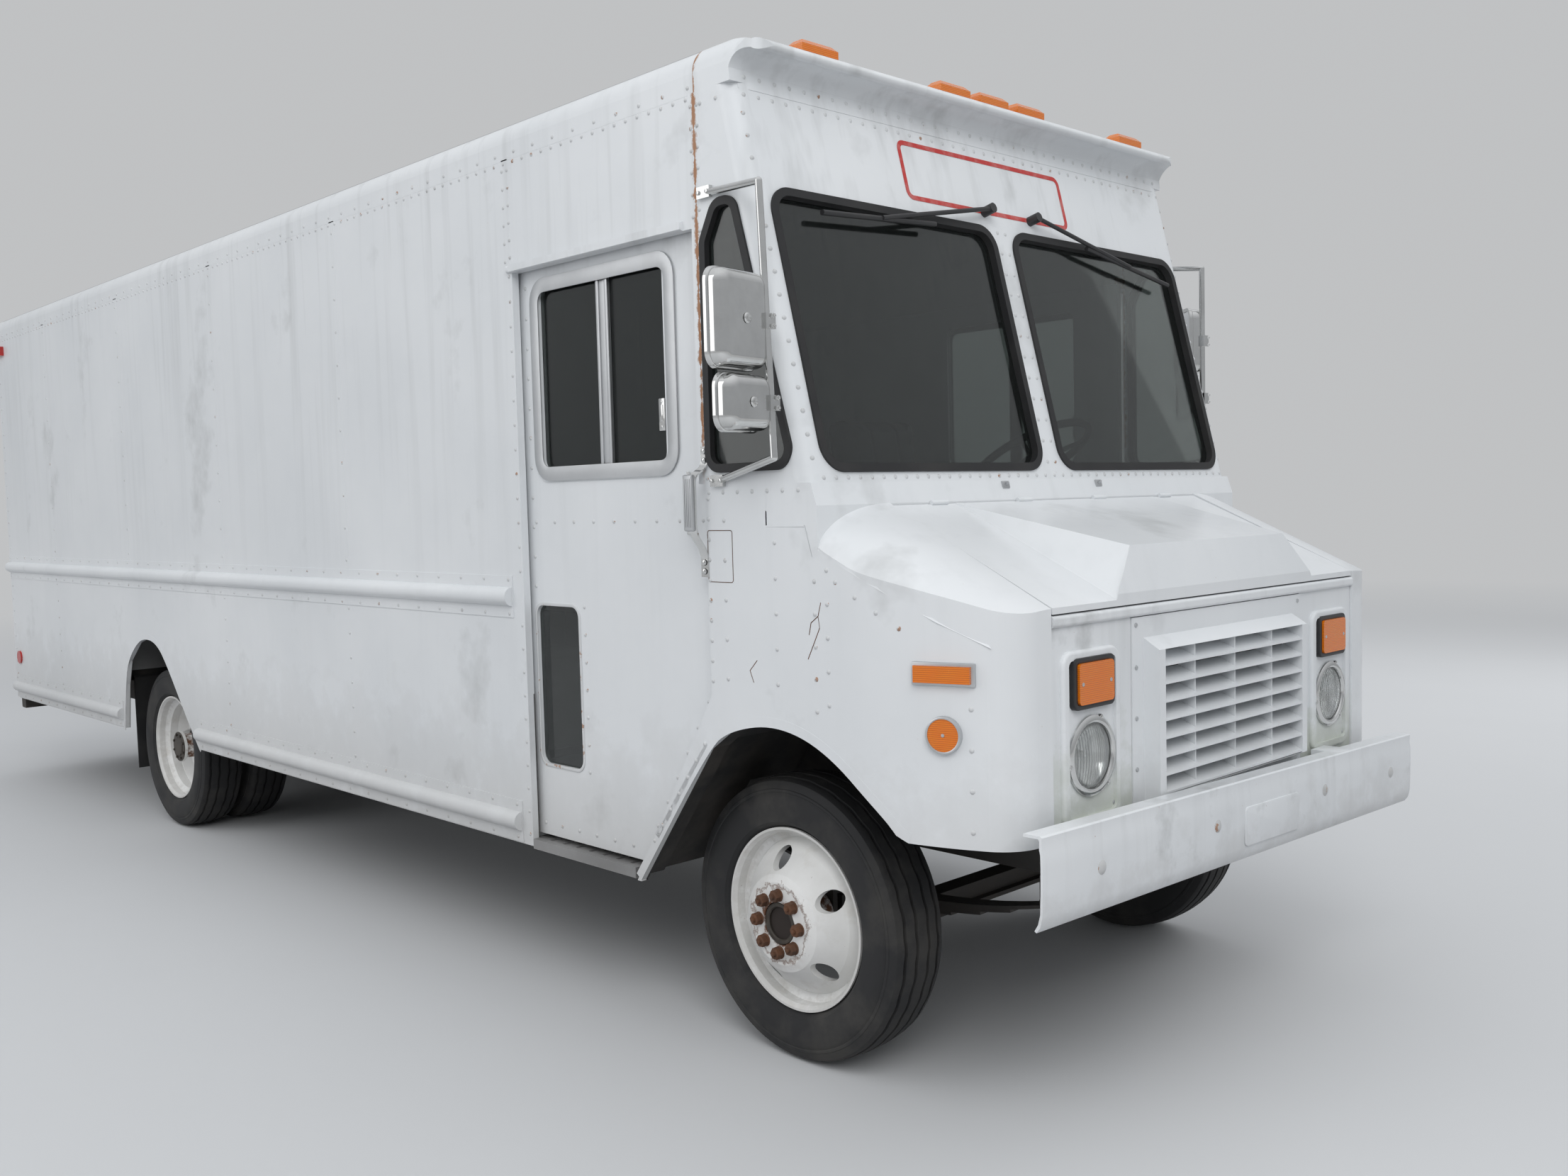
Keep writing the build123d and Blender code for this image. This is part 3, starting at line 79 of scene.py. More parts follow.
# Node helpers
def addNode(tree, kind, values=None, **settings):
    node = tree.nodes.new(kind)
    for key, value in settings.items():
        setattr(node, key, value)
    for key, value in (values or {}).items():
        node.inputs[key].default_value = value
    return node


def link(tree, source, target):
    tree.links.new(source, target)


def addMath(tree, operation, a, b=None, clamp=False):
    node = addNode(tree, "ShaderNodeMath", operation=operation, use_clamp=clamp)
    for index, value in enumerate((a, b)):
        if value is None:
            continue
        if isinstance(value, (int, float)):
            node.inputs[index].default_value = value
        else:
            link(tree, value, node.inputs[index])
    return node.outputs[0]


def times(tree, a, b, clamp=False):
    return addMath(tree, "MULTIPLY", a, b, clamp)


def plus(tree, a, b, clamp=False):
    return addMath(tree, "ADD", a, b, clamp)


def minus(tree, a, b):
    return addMath(tree, "SUBTRACT", a, b)


def most(tree, a, b):
    return addMath(tree, "MAXIMUM", a, b)


def addRange(tree, value, low, high, toLow=0.0, toHigh=1.0):
    node = addNode(tree, "ShaderNodeMapRange", clamp=True)
    link(tree, value, node.inputs["Value"])
    for key, amount in (("From Min", low), ("From Max", high), ("To Min", toLow), ("To Max", toHigh)):
        if isinstance(amount, (int, float)):
            node.inputs[key].default_value = amount
        else:
            link(tree, amount, node.inputs[key])
    return node.outputs["Result"]


def addMix(tree, factor, a, b):
    node = addNode(tree, "ShaderNodeMix", data_type="RGBA")
    for index, value in ((0, factor), (6, a), (7, b)):
        if isinstance(value, (tuple, float, int)):
            node.inputs[index].default_value = (*value, 1) if isinstance(value, tuple) else value
        else:
            link(tree, value, node.inputs[index])
    return node.outputs[2]


def addNoise(tree, vector, scale, detail=3.0, roughness=0.55, stretch=None):
    node = addNode(tree, "ShaderNodeTexNoise", {"Detail": detail, "Roughness": roughness})
    if stretch:
        mapping = addNode(tree, "ShaderNodeMapping", {"Scale": stretch})
        link(tree, vector, mapping.inputs["Vector"])
        vector = mapping.outputs["Vector"]
    link(tree, vector, node.inputs["Vector"])
    if isinstance(scale, (int, float)):
        node.inputs["Scale"].default_value = scale
    else:
        link(tree, scale, node.inputs["Scale"])
    return node.outputs["Fac"]


def newGroup(name, inputs, outputs):
    group = bpy.data.node_groups.new(name, "ShaderNodeTree")
    for label, value in inputs.items():
        kind = "NodeSocketVector" if isinstance(value, tuple) else "NodeSocketFloat"
        group.interface.new_socket(name=label, in_out="INPUT", socket_type=kind).default_value = value
    for label in outputs:
        group.interface.new_socket(name=label, in_out="OUTPUT", socket_type="NodeSocketFloat")
    return group, group.nodes.new("NodeGroupInput").outputs, group.nodes.new("NodeGroupOutput").inputs


def useGroup(tree, group, **values):
    node = addNode(tree, "ShaderNodeGroup", node_tree=group)
    for key, value in values.items():
        node.inputs[key].default_value = value
    return node.outputs[0]


def objectPlace(tree):
    return addNode(tree, "ShaderNodeTexCoord").outputs["Object"]


def splitPlace(tree, place):
    split = addNode(tree, "ShaderNodeSeparateXYZ")
    link(tree, place, split.inputs[0])
    return split.outputs


# Shared effects: each group gives one mask or height that changes over the surface
def makeStreaks():
    group, given, out = newGroup("rainStreaks", {"Width": 0.06, "Amount": 0.5, "Top": 2.75, "Reach": 1.2},
        ["Mask"])
    place = objectPlace(group)
    split = splitPlace(group, place)
    wide = addMath(group, "DIVIDE", 1.0, given["Width"])
    lines = addNoise(group, place, wide, 3.0, 0.6, (1, 1, 0.045))
    broad = addNoise(group, place, 1.3, 2.0, 0.5)
    lines = addRange(group, lines, 0.52, 0.74)
    fall = minus(group, given["Top"], split["Z"])
    fade = addRange(group, fall, 0.0, given["Reach"], 1.0, 0.15)
    mask = times(group, lines, fade)
    mask = times(group, mask, addRange(group, broad, 0.35, 0.65, 0.35, 1.0))
    link(group, times(group, mask, given["Amount"], True), out["Mask"])
    return group


def makePatches():
    group, given, out = newGroup("softPatches", {"Scale": 1.6, "Low": 0.55, "High": 0.75, "Amount": 0.5},
        ["Mask"])
    noise = addNoise(group, objectPlace(group), given["Scale"], 5.0, 0.6)
    mask = addRange(group, noise, given["Low"], given["High"])
    link(group, times(group, mask, given["Amount"], True), out["Mask"])
    return group


def makeSpeckle():
    group, given, out = newGroup("chipSpeckle", {"Scale": 90.0, "Cover": 0.3, "Amount": 1.0}, ["Mask"])
    place = objectPlace(group)
    fine = addNoise(group, place, given["Scale"], 4.0, 0.65)
    coarse = addNoise(group, place, times(group, given["Scale"], 0.08), 2.0, 0.5)
    limit = minus(group, 0.86, times(group, given["Cover"], 0.4))
    limit = minus(group, limit, times(group, coarse, 0.18))
    mask = addRange(group, fine, limit, plus(group, limit, 0.03))
    link(group, times(group, mask, given["Amount"], True), out["Mask"])
    return group


def makeSplash():
    group, given, out = newGroup("roadSplash", {"Low": 0.4, "High": 1.0, "Amount": 0.6}, ["Mask"])
    place = objectPlace(group)
    split = splitPlace(group, place)
    noise = addNoise(group, place, 7.0, 6.0, 0.65)
    height = plus(group, split["Z"], addRange(group, noise, 0.3, 0.7, -0.16, 0.16))
    mask = addRange(group, height, given["Low"], given["High"], 1.0, 0.0)
    mask = times(group, mask, addRange(group, noise, 0.35, 0.65, 0.45, 1.0))
    link(group, times(group, mask, given["Amount"], True), out["Mask"])
    return group


def makeSeamStain():
    group, given, out = newGroup("seamStain", {"Direction": (0.0, 1.0, 0.0), "Place": 0.0, "Width": 0.006,
        "Above": 2.0, "Amount": 1.0}, ["Mask"])
    place = objectPlace(group)
    split = splitPlace(group, place)
    dot = addNode(group, "ShaderNodeVectorMath", operation="DOT_PRODUCT")
    link(group, place, dot.inputs[0])
    link(group, given["Direction"], dot.inputs[1])
    away = addMath(group, "ABSOLUTE", minus(group, dot.outputs["Value"], given["Place"]))
    noise = addNoise(group, place, 26.0, 5.0, 0.7)
    wide = times(group, given["Width"], addRange(group, noise, 0.38, 0.66, 0.1, 2.2))
    mask = addRange(group, away, times(group, wide, 0.4), wide, 1.0, 0.0)
    over = addRange(group, minus(group, split["Z"], given["Above"]), 0.0, 0.15)
    mask = times(group, mask, over)
    link(group, times(group, mask, given["Amount"], True), out["Mask"])
    return group


def makeGrain():
    group, given, out = newGroup("surfaceGrain", {"Scale": 200.0, "Depth": 1.0}, ["Height"])
    place = objectPlace(group)
    fine = addNoise(group, place, given["Scale"], 3.0, 0.6)
    broad = addNoise(group, place, 3.2, 2.0, 0.4)
    height = plus(group, times(group, fine, 0.12), times(group, broad, 0.9))
    link(group, times(group, height, given["Depth"]), out["Height"])
    return group


streaks = makeStreaks()
patches = makePatches()
speckle = makeSpeckle()
splash = makeSplash()
seamStain = makeSeamStain()
grain = makeGrain()


def newFinish(name):
    finish = bpy.data.materials.new(name)
    finish.use_nodes = True
    return finish, finish.node_tree, finish.node_tree.nodes["Principled BSDF"]


def addBump(tree, shader, height, strength, distance):
    bump = addNode(tree, "ShaderNodeBump", {"Strength": strength, "Distance": distance})
    link(tree, height, bump.inputs["Height"])
    link(tree, bump.outputs["Normal"], shader.inputs["Normal"])


def addPatches(tree, scale, low, high, amount):
    return useGroup(tree, patches, Scale=scale, Low=low, High=high, Amount=amount)


def addChips(tree, look):
    return useGroup(tree, speckle, Scale=look["chipScale"], Cover=look["chipCover"], Amount=look["chips"])


def addGrain(tree, shader, scale, strength, distance):
    addBump(tree, shader, useGroup(tree, grain, Scale=scale), strength, distance)


def repaint(paint, name):
    finish = paint.copy()
    finish.name = name
    return finish, finish.node_tree, finish.node_tree.nodes["Principled BSDF"]


# Finishes
def makePaint(name, look):
    finish, tree, shader = newFinish(name)
    tone = addMix(tree, addPatches(tree, 0.9, 0.35, 0.7, 1.0), look["paint"], look["faded"])
    tone = addMix(tree, addPatches(tree, look["smudgeScale"], 0.6, 0.72, look["smudge"]), tone,
        look["grime"])
    tone = addMix(tree, useGroup(tree, streaks, Width=look["streakWidth"], Amount=look["streak"],
        Top=look["streakTop"], Reach=look["streakReach"]), tone, look["grime"])
    dirt = useGroup(tree, splash, Low=look["splashLow"], High=look["splashHigh"], Amount=look["splash"])
    tone = addMix(tree, dirt, tone, look["road"])
    stain = useGroup(tree, seamStain, Place=(van["cabRear"] - van["middleY"]) / 1000,
        Width=look["seamWidth"], Above=1.65, Amount=look["seam"])
    tone = addMix(tree, stain, tone, look["rust"])
    spots = addChips(tree, look)
    tone = addMix(tree, spots, tone, look["rust"])
    link(tree, tone, shader.inputs["Base Color"])
    rough = plus(tree, times(tree, dirt, 0.35), times(tree, spots, 0.4))
    link(tree, plus(tree, rough, look["roughness"], True), shader.inputs["Roughness"])
    addGrain(tree, shader, look["grainScale"], look["bump"], 0.004)
    shader.inputs["Coat Weight"].default_value = look["coat"]
    shader.inputs["Coat Roughness"].default_value = 0.18
    return finish


bodyLook = {
    "paint": (0.78, 0.80, 0.815), "faded": (0.70, 0.725, 0.745), "grime": (0.34, 0.35, 0.345),
    "road": (0.33, 0.31, 0.28), "rust": (0.33, 0.14, 0.05),
    "smudge": 0.36, "smudgeScale": 2.1, "streak": 0.30, "streakWidth": 0.075,
    "streakTop": 2.76, "streakReach": 1.6,
    "splash": 0.62, "splashLow": 0.42, "splashHigh": 0.95, "seam": 1.0, "seamWidth": 0.008,
    "chips": 0.8, "chipScale": 70.0, "chipCover": 0.02,
    "roughness": 0.34, "grainScale": 240.0, "bump": 0.22, "coat": 0.25,
}
whitePaint = makePaint("whitePaint", bodyLook)
# rivet and bolt heads and the door panel's rim: a darker copy of the body paint as painted shade round the
# small heads, with grime patches and rust chips on top
shadedRivetPaint = makePaint("shadedRivetPaint", {**bodyLook, "paint": (0.68, 0.695, 0.705),
    "faded": (0.54, 0.55, 0.555), "chipCover": 0.4, "chipScale": 30.0, "smudge": 0.6, "smudgeScale": 6.0})
doorPaint = makePaint("doorPaint", {**bodyLook, "seam": 0.0})
frontPaint = makePaint("frontPaint", {**bodyLook, "road": (0.30, 0.335, 0.20), "splash": 0.75,
    "splashLow": 0.74, "splashHigh": 0.98, "smudge": 0.5, "smudgeScale": 4.0, "streakTop": 1.3,
    "streakReach": 0.5})
wornWhitePaint = makePaint("wornWhitePaint", {**bodyLook, "chipCover": 0.12, "streakTop": 0.85,
    "streakReach": 0.5, "splash": 0.6, "splashHigh": 0.7, "smudge": 0.4, "smudgeScale": 5.0, "seam": 0.0})


# Painted shells are bare black undercoat where they face the wheels: inside the skins' plan curve and low down
def makeUndercoat(name, paint, top, radius, front):
    finish, tree, shader = repaint(paint, name)
    split = splitPlace(tree, objectPlace(tree))
    across = minus(tree, addMath(tree, "ABSOLUTE", split["X"]), van["curveX"] / 1000)
    along = addMath(tree, "MINIMUM", plus(tree, split["Y"], (van["middleY"] - van["curveY"]) / 1000), 0.0)
    reach = addMath(tree, "SQRT", plus(tree, times(tree, across, across), times(tree, along, along)))
    within = addRange(tree, reach, radius, radius + 0.002, 1.0, 0.0)
    below = addRange(tree, split["Z"], top, top + 0.002, 1.0, 0.0)
    behind = addRange(tree, split["Y"], front, front + 0.002)
    mask = times(tree, times(tree, within, below), behind)
    coat = addMix(tree, addPatches(tree, 5.0, 0.4, 0.7, 0.8), (0.02, 0.02, 0.02), (0.075, 0.066, 0.057))
    link(tree, addMix(tree, mask, shader.inputs["Base Color"].links[0].from_socket, coat),
        shader.inputs["Base Color"])
    rough = most(tree, times(tree, mask, 0.82), shader.inputs["Roughness"].links[0].from_socket)
    link(tree, rough, shader.inputs["Roughness"])
    return finish


cabLowerPaint = makeUndercoat("cabLowerPaint", whitePaint, 1.046, 0.906, -5.0)
fenderPaint = makeUndercoat("fenderPaint", whitePaint, 1.2, 0.906, -3.775)
wallPaint = makeUndercoat("wallPaint", whitePaint, 0.99, 0.902, -5.0)


# The roof's coves are painted like the sides; only its top sheet is bare, weathered metal
def makeRoofPaint():
    finish, tree, shader = repaint(doorPaint, "roofPaint")
    split = splitPlace(tree, objectPlace(tree))
    bare = addRange(tree, split["Z"], van["sheetZ"] / 1000, (van["sheetZ"] + 4) / 1000)
    metal = addMix(tree, addPatches(tree, 1.4, 0.35, 0.7, 1.0), (0.36, 0.37, 0.38), (0.25, 0.255, 0.26))
    link(tree, addMix(tree, bare, shader.inputs["Base Color"].links[0].from_socket, metal),
        shader.inputs["Base Color"])
    link(tree, times(tree, bare, 0.3), shader.inputs["Metallic"])
    return finish


roofPaint = makeRoofPaint()


def makeMetal(name, look):
    finish, tree, shader = newFinish(name)
    tone = addMix(tree, addPatches(tree, look["patchScale"], 0.35, 0.7, 1.0), look["metal"], look["dull"])
    spots = addChips(tree, look)
    tone = addMix(tree, spots, tone, look["stain"])
    dust = useGroup(tree, splash, Low=look["dustLow"], High=look["dustHigh"], Amount=look["dust"])
    tone = addMix(tree, dust, tone, look["road"])
    link(tree, tone, shader.inputs["Base Color"])
    cover = most(tree, spots, dust)
    link(tree, addRange(tree, cover, 0.0, 1.0, look["metallic"], look["metallic"] * 0.3),
        shader.inputs["Metallic"])
    link(tree, plus(tree, times(tree, cover, 0.4), look["roughness"], True), shader.inputs["Roughness"])
    addGrain(tree, shader, look["grainScale"], look["bump"], 0.002)
    return finish


metalLook = {
    "metal": (0.62, 0.63, 0.64), "dull": (0.5, 0.51, 0.52), "stain": (0.3, 0.28, 0.26),
    "road": (0.22, 0.2, 0.18), "patchScale": 3.0,
    "chips": 0.6, "chipScale": 60.0, "chipCover": 0.05, "dust": 0.0, "dustLow": 0.3, "dustHigh": 0.9,
    "metallic": 0.85, "roughness": 0.42, "grainScale": 160.0, "bump": 0.2,
}
bareAluminium = makeMetal("bareAluminium", metalLook)
roofAluminium = makeMetal("roofAluminium", {**metalLook, "metal": (0.60, 0.615, 0.63),
    "dull": (0.50, 0.515, 0.53), "metallic": 0.15, "roughness": 0.5, "chipCover": 0.1})
stainless = makeMetal("stainless", {**metalLook, "metal": (0.72, 0.72, 0.71), "dull": (0.62, 0.62, 0.61),
    "roughness": 0.13, "metallic": 1.0, "chipCover": 0.0, "chips": 0.4, "bump": 0.06, "patchScale": 9.0})
stepMetal = makeMetal("stepMetal", {**metalLook, "metal": (0.36, 0.36, 0.36), "dull": (0.26, 0.26, 0.26),
    "metallic": 0.6, "roughness": 0.5, "chipCover": 0.2, "dust": 0.4, "dustHigh": 0.8})
floorPlate = makeUndercoat("floorPlate", stepMetal, 0.787, 9.0, -5.0)
chassisBlack = makeMetal("chassisBlack", {**metalLook, "metal": (0.028, 0.028, 0.029),
    "dull": (0.05, 0.047, 0.044), "stain": (0.16, 0.075, 0.035), "metallic": 0.0, "roughness": 0.62,
    "chipCover": 0.25, "chipScale": 45.0, "dust": 0.55, "dustHigh": 0.75, "road": (0.11, 0.095, 0.08)})
castMetal = makeMetal("castMetal", {**metalLook, "metal": (0.10, 0.093, 0.086), "dull": (0.07, 0.06, 0.055),
    "stain": (0.2, 0.09, 0.04), "metallic": 0.3, "roughness": 0.7, "chipCover": 0.35, "dust": 0.5,
    "road": (0.13, 0.11, 0.09), "bump": 0.5})
rustySteel = makeMetal("rustySteel", {**metalLook, "metal": (0.15, 0.068, 0.036),
    "dull": (0.085, 0.046, 0.03), "stain": (0.05, 0.034, 0.026), "metallic": 0.1, "roughness": 0.8,
    "chipCover": 0.4, "chipScale": 220.0, "patchScale": 24.0, "grainScale": 500.0, "bump": 0.6})
darkSteel = makeMetal("darkSteel", {**metalLook, "metal": (0.06, 0.055, 0.05), "dull": (0.1, 0.085, 0.07),
    "stain": (0.2, 0.1, 0.05), "metallic": 0.6, "roughness": 0.5, "patchScale": 14.0})


# White steel wheels: rust grows round the hub and along the rim's foot; the hub's bore is painted near-black
# as painted shade in its recess
def makeWheelPaint():
    finish, tree, shader = newFinish("wheelWhite")
    place = objectPlace(tree)
    split = splitPlace(tree, place)
    up = minus(tree, split["Z"], van["axleZ"] / 1000)
    reach = None
    for y in (0, van["wheelbase"]):
        along = minus(tree, split["Y"], (y - van["middleY"]) / 1000)
        square = plus(tree, times(tree, along, along), times(tree, up, up))
        distance = addMath(tree, "SQRT", square)
        reach = distance if reach is None else addMath(tree, "MINIMUM", reach, distance)
    noise = addNoise(tree, place, 30.0, 6.0, 0.7)
    ragged = plus(tree, reach, addRange(tree, noise, 0.3, 0.7, -0.02, 0.02))
    bore = addRange(tree, ragged, 0.058, 0.072, 1.0, 0.0)
    ring = times(tree, addRange(tree, ragged, 0.104, 0.110), addRange(tree, ragged, 0.112, 0.118, 1.0, 0.0))
    rim = times(tree, addRange(tree, ragged, 0.232, 0.246), 0.4)
    spots = useGroup(tree, speckle, Scale=80.0, Cover=0.12, Amount=0.8)
    rust = most(tree, most(tree, bore, times(tree, ring, 0.7)), spots)
    tone = addMix(tree, addPatches(tree, 6.0, 0.35, 0.7, 1.0), (0.80, 0.80, 0.79), (0.70, 0.70, 0.68))
    tone = addMix(tree, times(tree, rim, noise), tone, (0.3, 0.27, 0.23))
    tone = addMix(tree, addPatches(tree, 11.0, 0.55, 0.75, 0.35), tone, (0.45, 0.41, 0.35))
    tone = addMix(tree, rust, tone, (0.15, 0.068, 0.036))
    # painted shade: inside the bore's recess the colour turns near-black
    tone = addMix(tree, addRange(tree, reach, 0.046, 0.049, 1.0, 0.0), tone, (0.028, 0.021, 0.018))
    link(tree, tone, shader.inputs["Base Color"])
    link(tree, plus(tree, times(tree, rust, 0.45), 0.36, True), shader.inputs["Roughness"])
    addGrain(tree, shader, 300.0, 0.25, 0.002)
    return finish


def makeRubber(name, look):
    finish, tree, shader = newFinish(name)
    dust = addPatches(tree, look["dustScale"], 0.45, 0.72, look["dust"])
    tone = addMix(tree, dust, look["rubber"], look["dusty"])
    link(tree, tone, shader.inputs["Base Color"])
    link(tree, plus(tree, times(tree, dust, 0.25), look["roughness"], True), shader.inputs["Roughness"])
    addGrain(tree, shader, look["grainScale"], look["bump"], 0.002)
    return finish


wheelWhite = makeWheelPaint()
rubberLook = {"rubber": (0.018, 0.018, 0.019), "dusty": (0.07, 0.067, 0.062), "dust": 0.5, "dustScale": 6.0,
    "roughness": 0.6, "grainScale": 260.0, "bump": 0.3}
blackRubber = makeRubber("blackRubber", {**rubberLook, "dust": 0.25})
tyreRubber = makeRubber("tyreRubber", {**rubberLook, "dust": 0.8, "roughness": 0.7})
blackPlastic = makeRubber("blackPlastic", {**rubberLook, "rubber": (0.024, 0.024, 0.026), "roughness": 0.42,
    "dust": 0.4, "grainScale": 600.0})


def makeVinyl():
    finish, tree, shader = newFinish("blackVinyl")
    place = objectPlace(tree)
    cells = addNode(tree, "ShaderNodeTexVoronoi", {"Scale": 420.0}, feature="DISTANCE_TO_EDGE")
    link(tree, place, cells.inputs["Vector"])
    worn = addPatches(tree, 9.0, 0.5, 0.75, 0.6)
    link(tree, addMix(tree, worn, (0.026, 0.026, 0.028), (0.075, 0.073, 0.07)), shader.inputs["Base Color"])
    link(tree, plus(tree, times(tree, worn, 0.2), 0.42), shader.inputs["Roughness"])
    addBump(tree, shader, addRange(tree, cells.outputs["Distance"], 0.0, 0.25), 0.35, 0.0006)
    return finish


def makeGlass(name, look):
    finish, tree, shader = newFinish(name)
    shader.inputs["Transmission Weight"].default_value = look["clear"]
    shader.inputs["IOR"].default_value = 1.5
    dust = addPatches(tree, look["dustScale"], 0.42, 0.8, look["dust"])
    runs = useGroup(tree, streaks, Width=0.025, Amount=look["runs"], Top=2.5, Reach=1.2)
    film = most(tree, dust, runs)
    link(tree, addMix(tree, film, look["tint"], look["filmed"]), shader.inputs["Base Color"])
    link(tree, addRange(tree, film, 0.0, 1.0, look["roughness"], look["roughness"] + 0.25),
        shader.inputs["Roughness"])
    return finish


blackVinyl = makeVinyl()
darkGlass = makeGlass("darkGlass", {"clear": 0.97, "tint": (0.27, 0.30, 0.29),
    "filmed": (0.12, 0.125, 0.12), "dust": 0.25, "runs": 0.35, "dustScale": 2.4, "roughness": 0.01})
lampGlass = makeGlass("lampGlass", {"clear": 0.95, "tint": (0.93, 0.95, 0.95), "filmed": (0.75, 0.74, 0.70),
    "dust": 0.3, "runs": 0.1, "dustScale": 14.0, "roughness": 0.03})


def makeLens(name, look):
    finish, tree, shader = newFinish(name)
    place = objectPlace(tree)
    ribs = addNode(tree, "ShaderNodeTexWave", {"Scale": look["ribScale"], "Distortion": 0.0},
        wave_type="BANDS", bands_direction="Z", wave_profile="SIN")
    link(tree, place, ribs.inputs["Vector"])
    dull = addPatches(tree, 20.0, 0.4, 0.75, 0.5)
    tone = addMix(tree, dull, look["plastic"], look["faded"])
    tone = addMix(tree, times(tree, ribs.outputs["Fac"], 0.45), tone, look["deep"])
    link(tree, tone, shader.inputs["Base Color"])
    link(tree, plus(tree, times(tree, dull, 0.3), 0.16), shader.inputs["Roughness"])
    addBump(tree, shader, ribs.outputs["Fac"], 0.4, 0.0015)
    shader.inputs["Subsurface Weight"].default_value = 0.15
    shader.inputs["Subsurface Radius"].default_value = (0.01, 0.004, 0.001)
    shader.inputs["Coat Weight"].default_value = 0.4
    return finish


amberPlastic = makeLens("amberPlastic", {"plastic": (0.80, 0.20, 0.004), "faded": (0.74, 0.24, 0.012),
    "deep": (0.45, 0.075, 0.002), "ribScale": 62.0})
redPlastic = makeLens("redPlastic", {"plastic": (0.55, 0.015, 0.012), "faded": (0.5, 0.04, 0.03),
    "deep": (0.22, 0.004, 0.004), "ribScale": 60.0})
redPaint = makeRubber("wornRedPaint", {**rubberLook, "rubber": (0.52, 0.035, 0.03),
    "dusty": (0.60, 0.30, 0.28), "dust": 0.5, "dustScale": 30.0, "roughness": 0.45})
print("finishes made", round(time.time() - started, 1))

finishOfSlot = {
    "white_paint": whitePaint, "bare_aluminium": roofAluminium, "dark_glass": darkGlass,
    "black_rubber": blackRubber,
    "tyre_rubber": tyreRubber, "chassis_black": chassisBlack, "wheel_white": wheelWhite,
    "lamp_glass": lampGlass,
    "amber_plastic": amberPlastic, "red_plastic": redPlastic, "stainless": stainless,
    "black_plastic": blackPlastic,
    "cast_metal": castMetal, "black_vinyl": blackVinyl, "floor_metal": stepMetal,
}
for part in frame["record"]["subparts"]:
    mesh = nodes[part["node"]].data
    mesh.materials.clear()
    mesh.materials.append(finishOfSlot[part["material_slot"]])
undercoated = {"cab_lower": cabLowerPaint, "fender_right": fenderPaint, "fender_left": fenderPaint,
    "side_wall_right": wallPaint, "side_wall_left": wallPaint}
for name, finish in undercoated.items():
    nodes[name].data.materials[0] = finish
nodes["floor"].data.materials[0] = floorPlate
nodes["front_panel"].data.materials[0] = frontPaint
nodes["roof"].data.materials[0] = roofPaint
for name in ("door_right", "door_left", "rear_door_right", "rear_door_left", "hood"):
    nodes[name].data.materials[0] = doorPaint
mirrorGlass = makeMetal("mirrorGlass", {**metalLook, "metal": (0.82, 0.83, 0.84),
    "dull": (0.76, 0.77, 0.78), "roughness": 0.03, "metallic": 1.0, "chips": 0.2, "chipCover": 0.0,
    "bump": 0.0})
print("carried-over nodes painted", round(time.time() - started, 1))


# Modelling helpers
toRight, toFront, toRear = Vector((-1, 0, 0)), Vector((0, -1, 0)), Vector((0, 1, 0))


def turnTo(direction):
    return Vector((0, 0, 1)).rotation_difference(direction).to_matrix().to_4x4()


def turnBy(degrees, axis):
    return Matrix.Rotation(math.radians(degrees), 4, axis)


def placeAt(x, y, z):
    return Matrix.Translation(at(x, y, z))


def ringSpot(centre, reach, turn):
    # a spot round an axis that runs across the vehicle
    return centre + Vector((0, math.sin(turn), math.cos(turn))) * reach / 1000


def edgesOf(verts):
    inside = set(verts)
    return list({edge for vert in verts for edge in vert.link_edges if set(edge.verts) <= inside})


def vertsIn(geom):
    return [item for item in geom if isinstance(item, bmesh.types.BMVert)]


def bevelEdges(bm, geom, amount, segments=2, affect="EDGES"):
    return bmesh.ops.bevel(bm, geom=geom, offset=amount / 1000, offset_type="OFFSET", affect=affect,
                           segments=segments, profile=0.5, material=-1)["verts"]


def drawOut(bm, faces, move):
    top = vertsIn(bmesh.ops.extrude_face_region(bm, geom=faces)["geom"])
    bmesh.ops.translate(bm, vec=Vector(move) / 1000, verts=top)
    return top


def addBox(bm, place, size, bevel, segments=2):
    shape = place @ Matrix.Diagonal((size[0] / 1000, size[1] / 1000, size[2] / 1000, 1))
    verts = bmesh.ops.create_cube(bm, size=1, matrix=shape)["verts"]
    bevelEdges(bm, edgesOf(verts), bevel, segments)


def pourInto(whole, part):
    mesh = bpy.data.meshes.new("part")
    part.to_mesh(mesh)
    part.free()
    whole.from_mesh(mesh)
    bpy.data.meshes.remove(mesh)


def addBlock(bm, low, high, bevel=0.0, segments=2):
    corners = at(*low), at(*high)
    verts = bmesh.ops.create_cube(bm, size=1)["verts"]
    bmesh.ops.scale(bm, vec=[abs(b - a) for a, b in zip(*corners)], verts=verts)
    bmesh.ops.translate(bm, vec=(corners[0] + corners[1]) / 2, verts=verts)
    if bevel:
        bevelEdges(bm, edgesOf(verts), bevel, segments)


def addRound(bm, centre, direction, radius, depth, tipRadius=None, segments=24, bevel=0.0):
    tip = radius if tipRadius is None else tipRadius
    made = bmesh.ops.create_cone(
        bm, cap_ends=True, cap_tris=False, segments=segments, radius1=radius / 1000, radius2=tip / 1000,
        depth=depth / 1000,
        matrix=Matrix.Translation(centre + direction * depth / 2000) @ turnTo(direction))
    if bevel:
        ends = [edge for edge in edgesOf(made["verts"])
                if len(edge.link_faces) == 2 and max(len(face.verts) for face in edge.link_faces) > 4]
        bevelEdges(bm, ends, bevel)


def roundPath(points, radius, steps=5):
    path = [points[0]]
    for before, corner, after in zip(points, points[1:], points[2:]):
        cut = min(radius / 1000, (corner - before).length * 0.45, (after - corner).length * 0.45)
        start = corner + (before - corner).normalized() * cut
        end = corner + (after - corner).normalized() * cut
        for step in range(steps + 1):
            t = step / steps
            path.append(start * (1 - t) ** 2 + corner * 2 * t * (1 - t) + end * t * t)
    path.append(points[-1])
    return path


